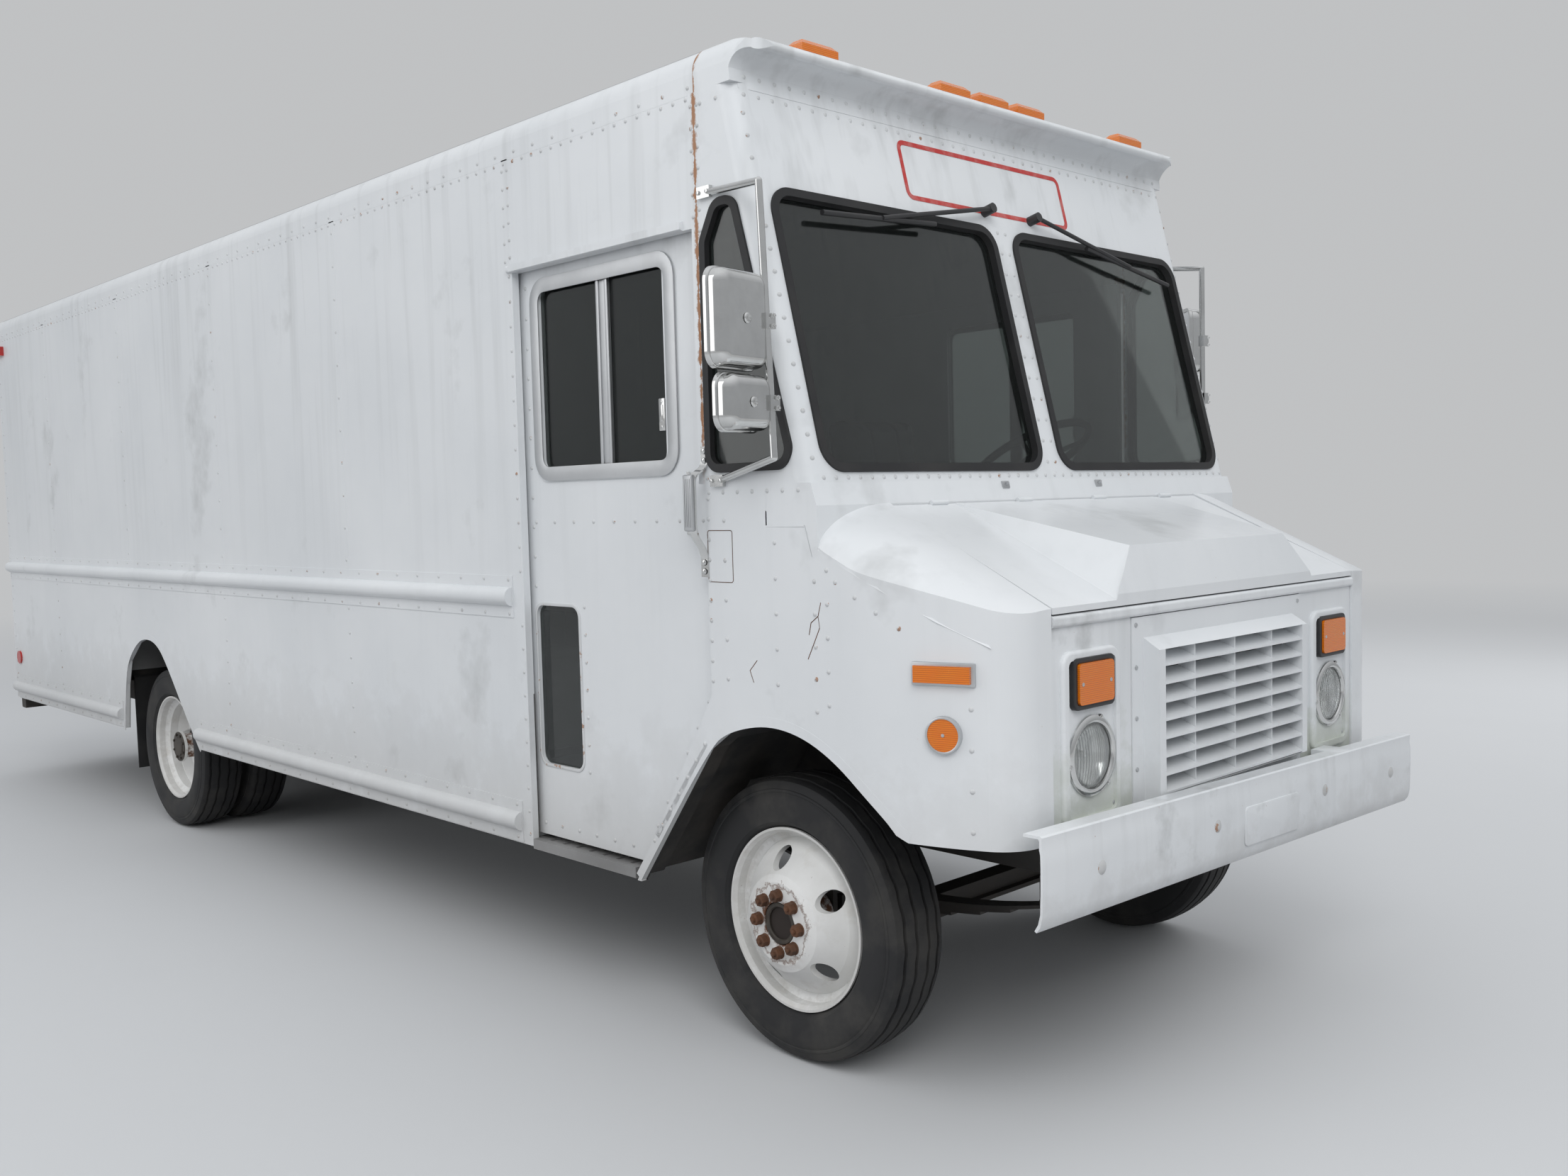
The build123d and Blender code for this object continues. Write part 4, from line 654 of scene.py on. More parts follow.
def addTube(bm, points, radius, segments=12):
    facing = (points[1] - points[0]).normalized()
    ring = bmesh.ops.create_circle(
        bm, cap_ends=True, segments=segments, radius=radius / 1000,
        matrix=Matrix.Translation(points[0]) @ turnTo(facing))["verts"]
    edges = edgesOf(ring)
    for index in range(1, len(points)):
        made = bmesh.ops.extrude_edge_only(bm, edges=edges)["geom"]
        ring = vertsIn(made)
        edges = edgesOf(ring)
        bmesh.ops.translate(bm, vec=points[index] - points[index - 1], verts=ring)
        ahead = points[min(index + 1, len(points) - 1)] - points[index]
        along = (points[index] - points[index - 1]).normalized()
        turned = (along + ahead.normalized()).normalized() if ahead.length > 1e-6 else along
        bmesh.ops.rotate(bm, cent=points[index], matrix=facing.rotation_difference(turned).to_matrix(),
            verts=ring)
        facing = turned
    bmesh.ops.edgeloop_fill(bm, edges=edges)


def addFrame(bm, place, width, height, radius, rim, depth, bevel=1.0):
    # a rounded frame in the plane of place, growing along its local z; with no rim it is a plate
    verts = bmesh.ops.create_grid(bm, x_segments=1, y_segments=1, size=0.5)["verts"]
    bmesh.ops.scale(bm, vec=(width / 1000, height / 1000, 1), verts=verts)
    face = bevelEdges(bm, verts, radius, 6, "VERTICES")[0].link_faces[0]
    region = [face]
    if rim:
        region = bmesh.ops.inset_region(bm, faces=[face], thickness=rim / 1000, use_boundary=True,
            use_even_offset=True)["faces"]
        bmesh.ops.delete(bm, geom=[face], context="FACES_ONLY")
    top = drawOut(bm, region, (0, 0, depth))
    whole = list({vert for face in region for vert in face.verts} | set(top))
    if bevel:
        lip = [edge for edge in edgesOf(top) if edge.is_manifold and edge.calc_face_angle(0) > 1.0]
        cut = bevelEdges(bm, lip, bevel)
        whole = list({vert for vert in whole if vert.is_valid} | set(cut))
    bmesh.ops.transform(bm, matrix=place, verts=whole)


def addSpun(bm, centre, direction, profile, steps=40):
    # profile points are (distance from the axis, distance along it); both ends may lie on the axis
    turn = turnTo(direction)
    verts = [bm.verts.new(centre + turn @ Vector((radius, 0, along)) / 1000) for radius, along in profile]
    pairs = list(zip(verts, verts[1:]))
    if profile[0][0] > 0 and profile[-1][0] > 0:
        pairs.append((verts[-1], verts[0]))
    edges = [bm.edges.new(pair) for pair in pairs]
    bmesh.ops.spin(bm, geom=verts + edges, cent=centre, axis=direction, dvec=(0, 0, 0), angle=2 * math.pi,
        steps=steps, use_merge=True)


def addRibbon(bm, points, across, thickness):
    # a strap: the path is drawn out sideways and given a wall
    verts = [bm.verts.new(point) for point in points]
    edges = [bm.edges.new(pair) for pair in zip(verts, verts[1:])]
    made = bmesh.ops.extrude_edge_only(bm, edges=edges)["geom"]
    bmesh.ops.translate(bm, vec=across, verts=vertsIn(made))
    faces = [item for item in made if isinstance(item, bmesh.types.BMFace)]
    bmesh.ops.recalc_face_normals(bm, faces=faces)
    bmesh.ops.solidify(bm, geom=faces, thickness=thickness / 1000)


def frontPlace(x, y, z):
    return placeAt(x, y, z) @ turnBy(90, "X")


def screenPlace(x, z, off=0.0):
    lean = math.atan2(van["browY"] - van["cowlY"], van["seamZ"] - van["cowlZ"])
    out = Vector((0, -math.cos(lean), math.sin(lean)))
    return Matrix.Translation(at(x, screenY(z),
        z) + out * off / 1000) @ Matrix.Rotation(math.radians(90) - lean, 4, "X")


def sidePlace(x, y, z):
    return placeAt(x, y, z) @ turnBy(-90, "Y") @ turnBy(90, "Z")


def rearPlace(x, y, z):
    return placeAt(x, y, z) @ turnBy(-90, "X")


def finishPiece(name, bm, finish, body, sharp=35):
    bmesh.ops.remove_doubles(bm, verts=bm.verts, dist=1e-5)
    bmesh.ops.recalc_face_normals(bm, faces=bm.faces)
    mesh = bpy.data.meshes.new(name)
    bm.to_mesh(mesh)
    bm.free()
    mesh.materials.append(finish)
    mesh.shade_smooth()
    mesh.set_sharp_from_angle(angle=math.radians(sharp))
    piece = bpy.data.objects.new(name, mesh)
    bpy.context.scene.collection.objects.link(piece)
    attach(piece, body)
    return piece


def mirrored(bm):
    # adds the other side of the vehicle to what bm holds
    geom = list(bm.verts) + list(bm.edges) + list(bm.faces)
    copy = bmesh.ops.duplicate(bm, geom=geom)["geom"]
    bmesh.ops.scale(bm, vec=(-1, 1, 1), verts=vertsIn(copy))
    bmesh.ops.reverse_faces(bm, faces=[item for item in copy if isinstance(item, bmesh.types.BMFace)])


def sideOnly(bm, side):
    # turns what bm holds over to the left side of the vehicle
    if side > 0:
        bmesh.ops.scale(bm, vec=(-1, 1, 1), verts=bm.verts)
        bmesh.ops.reverse_faces(bm, faces=bm.faces)


def finishSide(name, bm, finish, body, side, sharp=35):
    # made on the right side; a name or body that ends in _ gets its side's word
    sideOnly(bm, side)
    word = sides[side]
    body = body + word if body.endswith("_") else body
    return finishPiece(name + word, bm, finish, body, sharp)


def surfaceOf(names):
    points, triangles = [], []
    for name in names:
        mesh = nodes[name].data
        first = len(points)
        points += [vert.co.copy() for vert in mesh.vertices]
        triangles += [[first + index for index in polygon.vertices] for polygon in mesh.polygons]
    return BVHTree.FromPolygons(points, triangles)


# Rivets: rows cast onto the skins, so each head sits on the metal behind it
rivets = {
    "radius": 6.8, "height": 3.4, "castFrom": 3.0,
    # from, to, pitch: side rows in y and z, cast onto the right side; front and rear rows in x and z
    "sideRows": [
        (170, 2722, 6880, 2722, 54), (160, 2752, 6880, 2752, 108),
        (1099, 2410, 1099, 2700, 58), (1071, 2420, 1071, 2700, 58),
        (1080, 520, 1080, 1220, 78), (1080, 1400, 1080, 2360, 78),
        (1150, 1257, 6880, 1257, 150), (1150, 1371, 6880, 1371, 150),
        (1150, 612, 3880, 612, 150), (5010, 612, 6880, 612, 150),
        (1150, 503, 3880, 503, 150), (5010, 503, 6880, 503, 150),
        (6870, 640, 6870, 2700, 78),
        (124, 1110, 124, 2700, 56), (151, 2400, 151, 2700, 56),
        (-235, 1638, 120, 1638, 59), (60, 1120, 60, 1560, 110), (-140, 1120, -140, 1500, 95),
        (-285, 1060, -285, 1400, 85), (-20, 2700, 110, 2700, 65),
        (495, 500, 170, 925, 70),
    ] + [(y, 1420, y, 2690, 127) for y in (2310, 3530, 4750, 5970)]
      + [(y, 640, y, 1230, 98) for y in (2310, 3530, 5970)],
    "fenderRows": [(-740, 800, -740, 1200, 100), (-560, 1290, -360, 1400, 75), (-330, 1080, -330, 1430, 88)],
    "frontRows": [
        (-1040, 2702, 1040, 2702, 52), (-1030, 1668, 1030, 1668, 47),
        (-20, 1710, -20, 2440, 66), (20, 1710, 20, 2440, 66),
        (-1052, 1720, -1052, 2650, 62), (1052, 1720, 1052, 2650, 62),
        (-1030, 2752, 1030, 2752, 57),
    ],
    "rearRows": [
        (-1055, 620, -1055, 2780, 80), (1055, 620, 1055, 2780, 80), (-1000, 2720, 1000, 2720, 80),
        (-800, 830, -800, 2520, 80), (800, 830, 800, 2520, 80),
    ],
}


def addRivetRow(whole, skin, a, b, pitch, direction):
    radius, height = rivets["radius"], rivets["height"]
    bm = bmesh.new()
    count = max(1, round((b - a).length * 1000 / pitch))
    for index in range(count + 1):
        origin = a.lerp(b, index / count) - direction * rivets["castFrom"]
        hit, normal, _, _ = skin.ray_cast(origin, direction)
        if hit is None:
            continue
        if normal.dot(direction) > 0:
            normal = -normal
        if normal.dot(direction) > -0.35 or abs(abs((hit - origin).dot(direction)) - rivets["castFrom"]) > 1.3:
            continue
        place = Matrix.Translation(hit) @ turnTo(normal) @ Matrix.Diagonal((1, 1, height / radius, 1))
        bmesh.ops.create_uvsphere(bm, u_segments=8, v_segments=4, radius=radius / 1000, matrix=place)
    pourInto(whole, bm)


def addSideRows(bm, skin, rows, x):
    for y0, z0, y1, z1, pitch in rows:
        addRivetRow(bm, skin, at(x, y0, z0), at(x, y1, z1), pitch, -toRight)


def makeRivets():
    skin = surfaceOf(["side_wall_right", "cab_lower", "cab_upper", "brow", "roof", "rear_frame",
        "fender_right"])
    bm = bmesh.new()
    addSideRows(bm, skin, rivets["sideRows"] + rivets["fenderRows"], -van["halfWidth"])
    mirrored(bm)
    finishPiece("side_rivets", bm, shadedRivetPaint, "chassis", 60)
    whole = surfaceOf(["cab_upper", "cab_lower", "brow", "roof", "rear_frame"])
    bm = bmesh.new()
    for x0, z0, x1, z1, pitch in rivets["frontRows"]:
        addRivetRow(bm, whole, at(x0, screenY(z0), z0), at(x1, screenY(z1), z1), pitch, toRear)
    for x0, z0, x1, z1, pitch in rivets["rearRows"]:
        addRivetRow(bm, whole, at(x0, van["bodyRear"], z0), at(x1, van["bodyRear"], z1), pitch, toFront)
    finishPiece("front_and_rear_rivets", bm, shadedRivetPaint, "chassis", 60)


makeRivets()
print("rivets set", round(time.time() - started, 1))

# Tyres: spun rib treads with zigzag grooves, in place of the plain CAD tyres
tyre = {
    "outer": 412.4, "half": 108, "rimSeat": 257.5, "bead": 73.5, "steps": 120,
    "grooves": [-66, -24, 24, 66], "grooveHalf": 5.5, "grooveDepth": 11, "zigzag": 3.2,
    "centres": {"front": [827], "rear": [895, 650]},
}


def tyreProfile():
    # half profile as (radius, across), from the crown to the bead
    top, half = tyre["outer"], tyre["half"]
    side = [
        (top - 8, half - 25), (top - 13, half - 16), (top - 22, half - 11.5), (top - 34, half - 8),
        (top - 36, half - 5.5), (top - 42, half - 4.5),
        (top - 45, half - 6), (360, half - 1.5), (340, half - 0.2), (322, half), (304, half - 2.5),
        (290, half - 6), (282, half - 7.5), (280, half - 10.5),
        (276, half - 14), (271, half - 21), (267, half - 28), (tyre["rimSeat"], tyre["bead"]),
        (tyre["rimSeat"], tyre["bead"] - 24), (300, half - 40), (372, half - 34),
    ]
    crown = []
    for middle in tyre["grooves"]:
        deep = tyre["grooveHalf"] * 0.7
        for offset, down in ((-tyre["grooveHalf"], 0), (-deep, tyre["grooveDepth"]),
                (deep, tyre["grooveDepth"]), (tyre["grooveHalf"], 0)):
            across = middle + offset
            crown.append((top - 8 * (across / (half - 26)) ** 2 - down, across))
    return [(r, -a) for r, a in reversed(side)] + crown + side


def makeTyre(name, body, side, y, centres):
    bm = bmesh.new()
    profile = tyreProfile()
    steps = tyre["steps"]
    for centre in centres:
        axis = at(side * centre, y, van["axleZ"])
        verts = [bm.verts.new(axis + Vector((side * across, 0, radius)) / 1000) for radius, across in profile]
        edges = [bm.edges.new((a, b)) for a, b in zip(verts, verts[1:] + verts[:1])]
        bmesh.ops.spin(bm, geom=verts + edges, cent=axis, axis=(1, 0, 0), dvec=(0, 0, 0), angle=2 * math.pi,
            steps=steps, use_merge=True)
        for vert in bm.verts:
            offset = (vert.co - axis) * 1000
            if abs(offset.x) > 90 or math.hypot(offset.y, offset.z) < tyre["outer"] - 22:
                continue
            turn = round(math.atan2(offset.y, offset.z) / (2 * math.pi) * steps)
            shift = (turn % 4 in (1, 2)) - 0.5
            near = min(abs(offset.x - middle) for middle in tyre["grooves"])
            if near < tyre["grooveHalf"] + 1:
                vert.co.x += shift * tyre["zigzag"] / 1000
    return finishPiece(name, bm, tyreRubber, body, 28)


for side, word in sides.items():
    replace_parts(makeTyre("front_tread_" + word, "front_wheel_" + word, side, 0, tyre["centres"]["front"]),
        "front_tyre_" + word)
    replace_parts(makeTyre("rear_tread_" + word, "rear_wheels_" + word, side, van["wheelbase"],
        tyre["centres"]["rear"]), "rear_tyres_" + word)
print("tyres spun", round(time.time() - started, 1))

# Wheel nuts with their studs, and the hub details
hub = {"nutCircle": 82.55, "count": 8, "nutAcross": 18, "nutHeight": 19, "studRadius": 8,
    "frontFace": 827 + 144, "rearFace": 772.5 + 11,
    "frontRings": [[(61, -3), (61, 5), (58, 8), (49, 8), (45.5, 4), (45.5, -3)],
    [(45, -38), (45, -30), (32, -27), (29, -15), (22, -11), (0, -10), (0, -38)]],
    "rearRings": [[(77, -5), (77, 1.5), (74, 3), (50, 3), (46, 8), (0, 9), (0, -5)]],
}


def makeNuts(name, body, side, y, face):
    bm = bmesh.new()
    out = Vector((side, 0, 0))
    for index in range(hub["count"]):
        turn = math.radians(index * 360 / hub["count"])
        centre = ringSpot(at(side * face, y, van["axleZ"]), hub["nutCircle"], turn)
        addRound(bm, centre, out, 19.5, 4, 18, 16, 1.0)
        addRound(bm, centre + out * 0.004, out, hub["nutAcross"], hub["nutHeight"], hub["nutAcross"] * 0.97,
            6, 1.6)
        addRound(bm, centre + out * 0.022, out, hub["studRadius"], 9, hub["studRadius"] * 0.8, 12, 1.0)
    return finishPiece(name, bm, rustySteel, body)


def makeHub(name, body, side, y, x, rings, bolts):
    bm = bmesh.new()
    out = Vector((side, 0, 0))
    centre = at(side * x, y, van["axleZ"])
    for ring in rings:
        addSpun(bm, centre, out, ring, 40)
    for index in range(8 if bolts else 0):
        spot = ringSpot(centre, bolts, math.radians(index * 45 + 20))
        addRound(bm, spot, out, 9, 3, 8.5, 12, 0.8)
        addRound(bm, spot + out * 0.003, out, 7, 7, 6.6, 6, 1.0)
    return finishPiece(name, bm, darkSteel, body)


for side, word in sides.items():
    makeHub("front_hub_core_" + word, "front_wheel_" + word, side, 0, 827 + 135, hub["frontRings"], 0)
    makeHub("rear_axle_flange_" + word, "rear_wheels_" + word, side, van["wheelbase"], 772.5 + 190,
        hub["rearRings"], 62)
    makeNuts("front_nuts_" + word, "front_wheel_" + word, side, 0, hub["frontFace"])
    makeNuts("rear_nuts_" + word, "rear_wheels_" + word, side, van["wheelbase"], hub["rearFace"])
print("wheel nuts set", round(time.time() - started, 1))

# Sliding cab doors: aluminium window frame, divider, latch, rivets and the rim round the lower panel
doorParts = {
    "outerX": 1046, "panel": (-1046, 929, 1025), "panelRim": (252, 544, 44, 10, 3),
    "frame": (284, 1016, 1692, 2342, 78, 46), "divider": (606, 664), "dividerBar": 14,
    "latch": ((-1054, 340, 1823), (-1049, 366, 1917)),
    "latchKnob": ((-1056, 346, 1850), (-1053, 360, 1898)), "latchScrews": (1834, 1907),
    "rows": [(170, 1120, 170, 2320, 98), (1045, 1350, 1045, 2320, 98), (190, 1560, 1030, 1560, 105),
             (470, 560, 1040, 560, 95), (780, 760, 780, 1290, 90), (440, 640, 190, 1040, 90)],
}


def makeDoorTrim(side):
    y0, y1, z0, z1, radius, rim = doorParts["frame"]
    x = -doorParts["outerX"] - 4
    bm = bmesh.new()
    addFrame(bm, sidePlace(x - 0.2, (y0 + y1) / 2, (z0 + z1) / 2), y1 - y0, z1 - z0, radius, rim, 3, 1.0)
    a, b = doorParts["divider"]
    bar = doorParts["dividerBar"]
    for y in (a, b - bar):
        addBlock(bm, (x + 2, y, z0 + 36), (x + 14, y + bar, z1 - 36), 1.5)
    addBlock(bm, (x + 6, a, z0 + 36), (x + 10, b, z1 - 36), 1.0)
    finishSide("window_frame_", bm, bareAluminium, "door_", side)
    bm = bmesh.new()
    addBlock(bm, *doorParts["latch"], 1.5)
    addBlock(bm, *doorParts["latchKnob"], 1.0)
    for z in doorParts["latchScrews"]:
        addRound(bm, at(x - 4, 353, z), toRight, 6, 1.5, 4, 10, 0.5)
    finishSide("window_latch_", bm, stainless, "door_", side)
    bm = bmesh.new()
    skin = surfaceOf(["door_right"])
    addSideRows(bm, skin, doorParts["rows"], -doorParts["outerX"])
    addFrame(bm, sidePlace(*doorParts["panel"]), *doorParts["panelRim"])
    finishSide("door_rivets_", bm, shadedRivetPaint, "door_", side, 60)


for side in sides:
    makeDoorTrim(side)
print("door trim set", round(time.time() - started, 1))

# Headlights: fluted lens, bright bowl and chrome ring with its tabs
lamp = {
    "x": 672, "z": 950,
    "lens": [(0, 22), (24, 21), (48, 17.5), (68, 12.5), (82, 7), (88, 3), (88, -9), (85, -9), (84, 3),
    (66, 9), (46, 14), (24, 17.5), (0, 18)],
    "bowl": [(86, -9), (86, -12), (74, -26), (52, -40), (28, -48), (0, -50), (0, -47), (27, -45), (50, -37),
    (72, -24), (83, -9)],
    "ring": [(83, 8), (85, 13), (90, 16), (98, 15), (103, 11), (104, 6.5), (104, 5.5), (84, 5.5)],
    "flutes": {"pitch": 9.5, "radius": 1.7, "count": 8, "reach": 82, "steps": 8,
               "off": 19.5, "drop": 15, "rim": 84},
    "tabs": (20, 140, 260), "tabReach": 0.1,
    "bulb": [(0, -47), (13, -47), (13, -36), (9, -30), (9, -16), (5, -12), (0, -11)],
}


def makeHeadlights():
    out = toFront
    lens, bowl, ring = bmesh.new(), bmesh.new(), bmesh.new()
    for side in sides:
        centre = at(side * lamp["x"], van["panelY"], lamp["z"])
        addSpun(lens, centre, out, lamp["lens"], 56)
        addSpun(bowl, centre, out, lamp["bowl"], 40)
        addSpun(bowl, centre, out, lamp["bulb"], 16)
        addSpun(ring, centre, out, lamp["ring"], 48)
        for degrees in lamp["tabs"]:
            turn = math.radians(degrees)
            way = Vector((math.sin(turn), 0, math.cos(turn))) * lamp["tabReach"]
            addRound(ring, centre + way + out * 0.006, out, 9, 9, 8, 12, 1.0)
            addRound(ring, centre + way + out * 0.015, out, 4, 2, 3, 8, 0.5)
        flutes = lamp["flutes"]
        for index in range(-flutes["count"], flutes["count"] + 1):
            across = index * flutes["pitch"]
            points = []
            for step in range(flutes["steps"] + 1):
                up = math.sqrt(flutes["reach"] ** 2 - across ** 2) * (2 * step / flutes["steps"] - 1)
                off = math.hypot(across, up)
                ahead = flutes["off"] - flutes["drop"] * (off / flutes["rim"]) ** 2
                points.append(centre + Vector((across, -ahead, up)) / 1000)
            addTube(lens, points, flutes["radius"], 6)
    return [
        finishPiece("headlight_lenses", lens, lampGlass, "chassis"),
        finishPiece("headlight_bowls", bowl, stainless, "chassis"),
        finishPiece("headlight_rings", ring, stainless, "chassis"),
    ]


for piece in makeHeadlights():
    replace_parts(piece, "headlights")
print("headlights set", round(time.time() - started, 1))

# Lamp frames and bases round the amber lamps
lampBases = {"signal": (672, 1138, 180, 130), "markers": (-790, -195, 0, 195, 790), "sideTurn": 17.3,
    "side": (-1041.2, -675)}


def makeLampBases():
    x, z, wide, high = lampBases["signal"]
    dark, pale = bmesh.new(), bmesh.new()
    for side in sides:
        addFrame(dark, frontPlace(side * x, -844, z), wide, high, 18, 14, 17, 2.5)
        for offset in (-62, 62):
            addRound(pale, at(side * x + offset, -866.5, z), toFront, 5.5, 2, 4.5, 10, 0.8)
    for x in lampBases["markers"]:
        slope = placeAt(x, -38, 2846) @ turnBy(15, "X")
        addBox(pale, slope, (158, 70, 12), 3.0)
    turned = turnBy(lampBases["sideTurn"], "Z")
    x, y = lampBases["side"]
    for side in sides:
        part = bmesh.new()
        addBox(part, placeAt(x, y, 1183) @ turned, (12, 166, 58), 4.0)
        out = turned @ toRight
        centre = at(x, y, 1035)
        addSpun(part, centre, out, [(40.5, -6), (40.5, 12.5), (43, 13.5), (46, 12), (47, 6), (47, -6)], 32)
        addRound(part, centre + out * 0.0105, out, 5, 2.5, 4, 10, 0.8)
        sideOnly(part, side)
        pourInto(pale, part)
    finishPiece("signal_frames", dark, blackPlastic, "chassis")
    finishPiece("lamp_bases", pale, bareAluminium, "chassis")


makeLampBases()

# Radiator core seen between the louvres: a back block, the two tanks and the tubes
core = {"half": 452, "low": 752, "high": 1282, "y": (-792, -772), "tubes": 26}


def makeCore():
    bm = bmesh.new()
    y0, y1 = core["y"]
    half, low, high = core["half"], core["low"], core["high"]
    addBlock(bm, (-half, y1, low), (half, y1 + 16, high), 3.0)
    for z in (low + 12, high - 12):
        addBlock(bm, (-half, y0 - 6, z - 12), (half, y1 + 4, z + 12), 3.0)
    for index in range(1, core["tubes"]):
        z = low + (high - low) * index / core["tubes"]
        addBlock(bm, (-half + 4, y0, z - 2.5), (half - 4, y1 + 2, z + 2.5), 1.0, 1)
    return finishPiece("radiator_core", bm, blackPlastic, "chassis")


makeCore()

# Front bumper: the pressed bar, its carriage bolts and the box brackets behind it
bumper = {
    "half": 1042, "low": 578, "high": 804, "tilt": 1.35, "face": -956,
    # (behind the face, height over the bar's lower edge), outside first and back along the inside
    "section": [(54, 226), (6, 226), (2, 222), (3, 196), (0, 184), (-1, 150), (-1, 96), (0, 40), (6, 14),
                (16, 0), (22, 3), (12, 20), (6, 44), (5, 96), (5, 150), (6, 182), (9, 194), (9, 214), (12, 219), (54, 219)],
    "bolts": [(-798, 112), (-241, 122), (405, 128), (882, 118)], "plate": (-92, 228, 40, 150),
}


def makeBumper():
    bm = bmesh.new()
    half = bumper["half"]
    verts = [bm.verts.new(at(-half, bumper["face"] + back, bumper["low"] + up))
             for back, up in bumper["section"]]
    end = bm.faces.new(verts)
    drawOut(bm, [end], (2 * half, 0, 0))
    x0, x1, low, high = bumper["plate"]
    addFrame(bm, frontPlace((x0 + x1) / 2, bumper["face"] - 1, bumper["low"] + (low + high) / 2), x1 - x0,
        high - low, 14, 0, 4.2, 2.6)
    bmesh.ops.remove_doubles(bm, verts=bm.verts, dist=1e-6)
    middle = at(0, 0, (bumper["low"] + bumper["high"]) / 2)
    tilt = Matrix.Rotation(math.radians(bumper["tilt"]), 3, "Y")
    bmesh.ops.rotate(bm, cent=middle, matrix=tilt, verts=bm.verts)
    for side in sides:
        addBlock(bm, (side * 432 - 40, -951, 640), (side * 432 + 40, -800, 700), 3.0)
        addBlock(bm, (side * 570 - 45, -946, 742), (side * 570 + 45, -855, 792), 3.0)
    bar = finishPiece("front_bumper_bar", bm, wornWhitePaint, "chassis")
    bm = bmesh.new()
    for x, up in bumper["bolts"]:
        z = bumper["low"] + up - x * math.tan(math.radians(bumper["tilt"]))
        addSpun(bm, at(x, bumper["face"] - 1, z), toFront,
            [(0, 5), (7, 4.6), (13, 3), (18, 0), (18, -3), (0, -3)], 20)
    bolts = finishPiece("bumper_bolts", bm, shadedRivetPaint, "chassis")
    return bar, bolts


for piece in makeBumper():
    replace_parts(piece, "front_bumper")
print("bumper made", round(time.time() - started, 1))

# Mirror glass, clamps and bolts
mirrors = {
    "armX": -1142, "top": 2432, "bottom": 1722, "sizes": [(205, 245), (188, 142)],
    "brackets": ((96, 2457), (74, 1670)),
    # the arm's y at its top and bottom, the heads' turn, and their heights
    "sides": {"right": (-178, -209, 12, (2072, 1862)), "left": (-150, -150, -47, (2163, 1950))},
}


def makeMirrors(side):
    topY, bottomY, turn, heights = mirrors["sides"][sides[side]]
    glass, steel = bmesh.new(), bmesh.new()
    for z, (wide, high) in zip(heights, mirrors["sizes"]):
        share = (z - mirrors["bottom"]) / (mirrors["top"] - mirrors["bottom"])
        tube = placeAt(mirrors["armX"], bottomY + share * (topY - bottomY), z) @ turnBy(turn, "Z")
        head = tube @ Matrix.Translation(Vector((8 - wide / 2, 43.4, 0)) / 1000) @ turnBy(-90, "X")
        addFrame(glass, head, wide - 16, high - 16, 29, 0, 2.5, 0.8)
        for lift in (-13, 13):
            centre = tube @ (Vector((0, 0, lift)) / 1000)
            ahead = (tube.to_3x3() @ toFront).normalized()
            addRound(steel, centre + ahead * 0.017, ahead, 7.5, 7, 7, 6, 1.0)
            addRound(steel, centre + ahead * 0.024, ahead, 4, 5, 3.5, 10, 0.8)
            addRound(steel, centre - ahead * 0.017, -ahead, 7.5, 5, 7, 6, 1.0)
        back = tube @ Matrix.Translation(Vector((8 - wide / 2, -7, 0)) / 1000)
        ahead = (back.to_3x3() @ toFront).normalized()
        addRound(steel, back.translation, ahead, 15, 5, 12, 20, 1.5)
        addRound(steel, back.translation + ahead * 0.004, ahead, 7, 6, 6.5, 6, 1.0)
    for y, z in mirrors["brackets"]:
        for offset in (-18, 18):
            addRound(steel, at(-1095, y + offset, z), toRight, 6.5, 5, 6, 6, 1.0)
    finishSide("mirror_glass_", glass, mirrorGlass, "chassis", side)
    finishSide("mirror_clamps_", steel, stainless, "chassis", side)


for side in sides:
    makeMirrors(side)
print("mirrors dressed", round(time.time() - started, 1))

# Grab handles beside the doors, and the doors' levers
grab = {
    "strap": [(-1086, 132, 1767), (-1086, 132, 1712), (-1113, 160, 1688), (-1113, 160, 1524),
    (-1086, 143, 1470), (-1086, 143, 1402)],
    "width": 30, "grip": ((-1120, 150, 1531), (-1104, 192, 1690)),
    "screws": ((132, 1754), (132, 1728), (143, 1443), (143, 1418)),
    "ribs": (160, 168, 176, 184), "leverWidth": 0.011,
    "leverPlate": ((-1054, 236, 1520), (-1045, 256, 1570)), "leverScrew": (-1054, 246, 1536),
    "lever": [(-1050, 246, 1556), (-1055, 242, 1585), (-1055.5, 236, 1650), (-1052, 240, 1700)],
}


def makeGrab(side):
    steel, dark, chrome = bmesh.new(), bmesh.new(), bmesh.new()
    path = roundPath([at(x, y - grab["width"] / 2, z) for x, y, z in grab["strap"]], 26)
    addRibbon(steel, path, Vector((0, grab["width"] / 1000, 0)), 5)
    for y, z in grab["screws"]:
        addSpun(steel, at(-1088, y, z), toRight, [(0, 6), (4, 5.5), (8, 3), (9, 0), (0, 0)], 12)
    low, high = grab["grip"]
    addBlock(dark, low, high, 6.0, 3)
    for y in grab["ribs"]:
        addBlock(dark, (low[0] - 1.5, y - 2, low[2] + 12), (low[0] + 2, y + 2, high[2] - 12), 0.8)
    finishSide("grab_handle_", steel, stainless, "chassis", side)
    finishSide("grab_grip_", dark, bareAluminium, "chassis", side)
    addRibbon(chrome, roundPath([at(*point) for point in grab["lever"]], 20),
        Vector((0, grab["leverWidth"], 0)), 3)
    addBlock(chrome, *grab["leverPlate"], 3.0, 3)
    addRound(chrome, at(*grab["leverScrew"]), toRight, 6, 1.5, 5, 12, 0.5)
    finishSide("door_lever_", chrome, stainless, "door_", side)


for side in sides:
    makeGrab(side)
print("handles set", round(time.time() - started, 1))

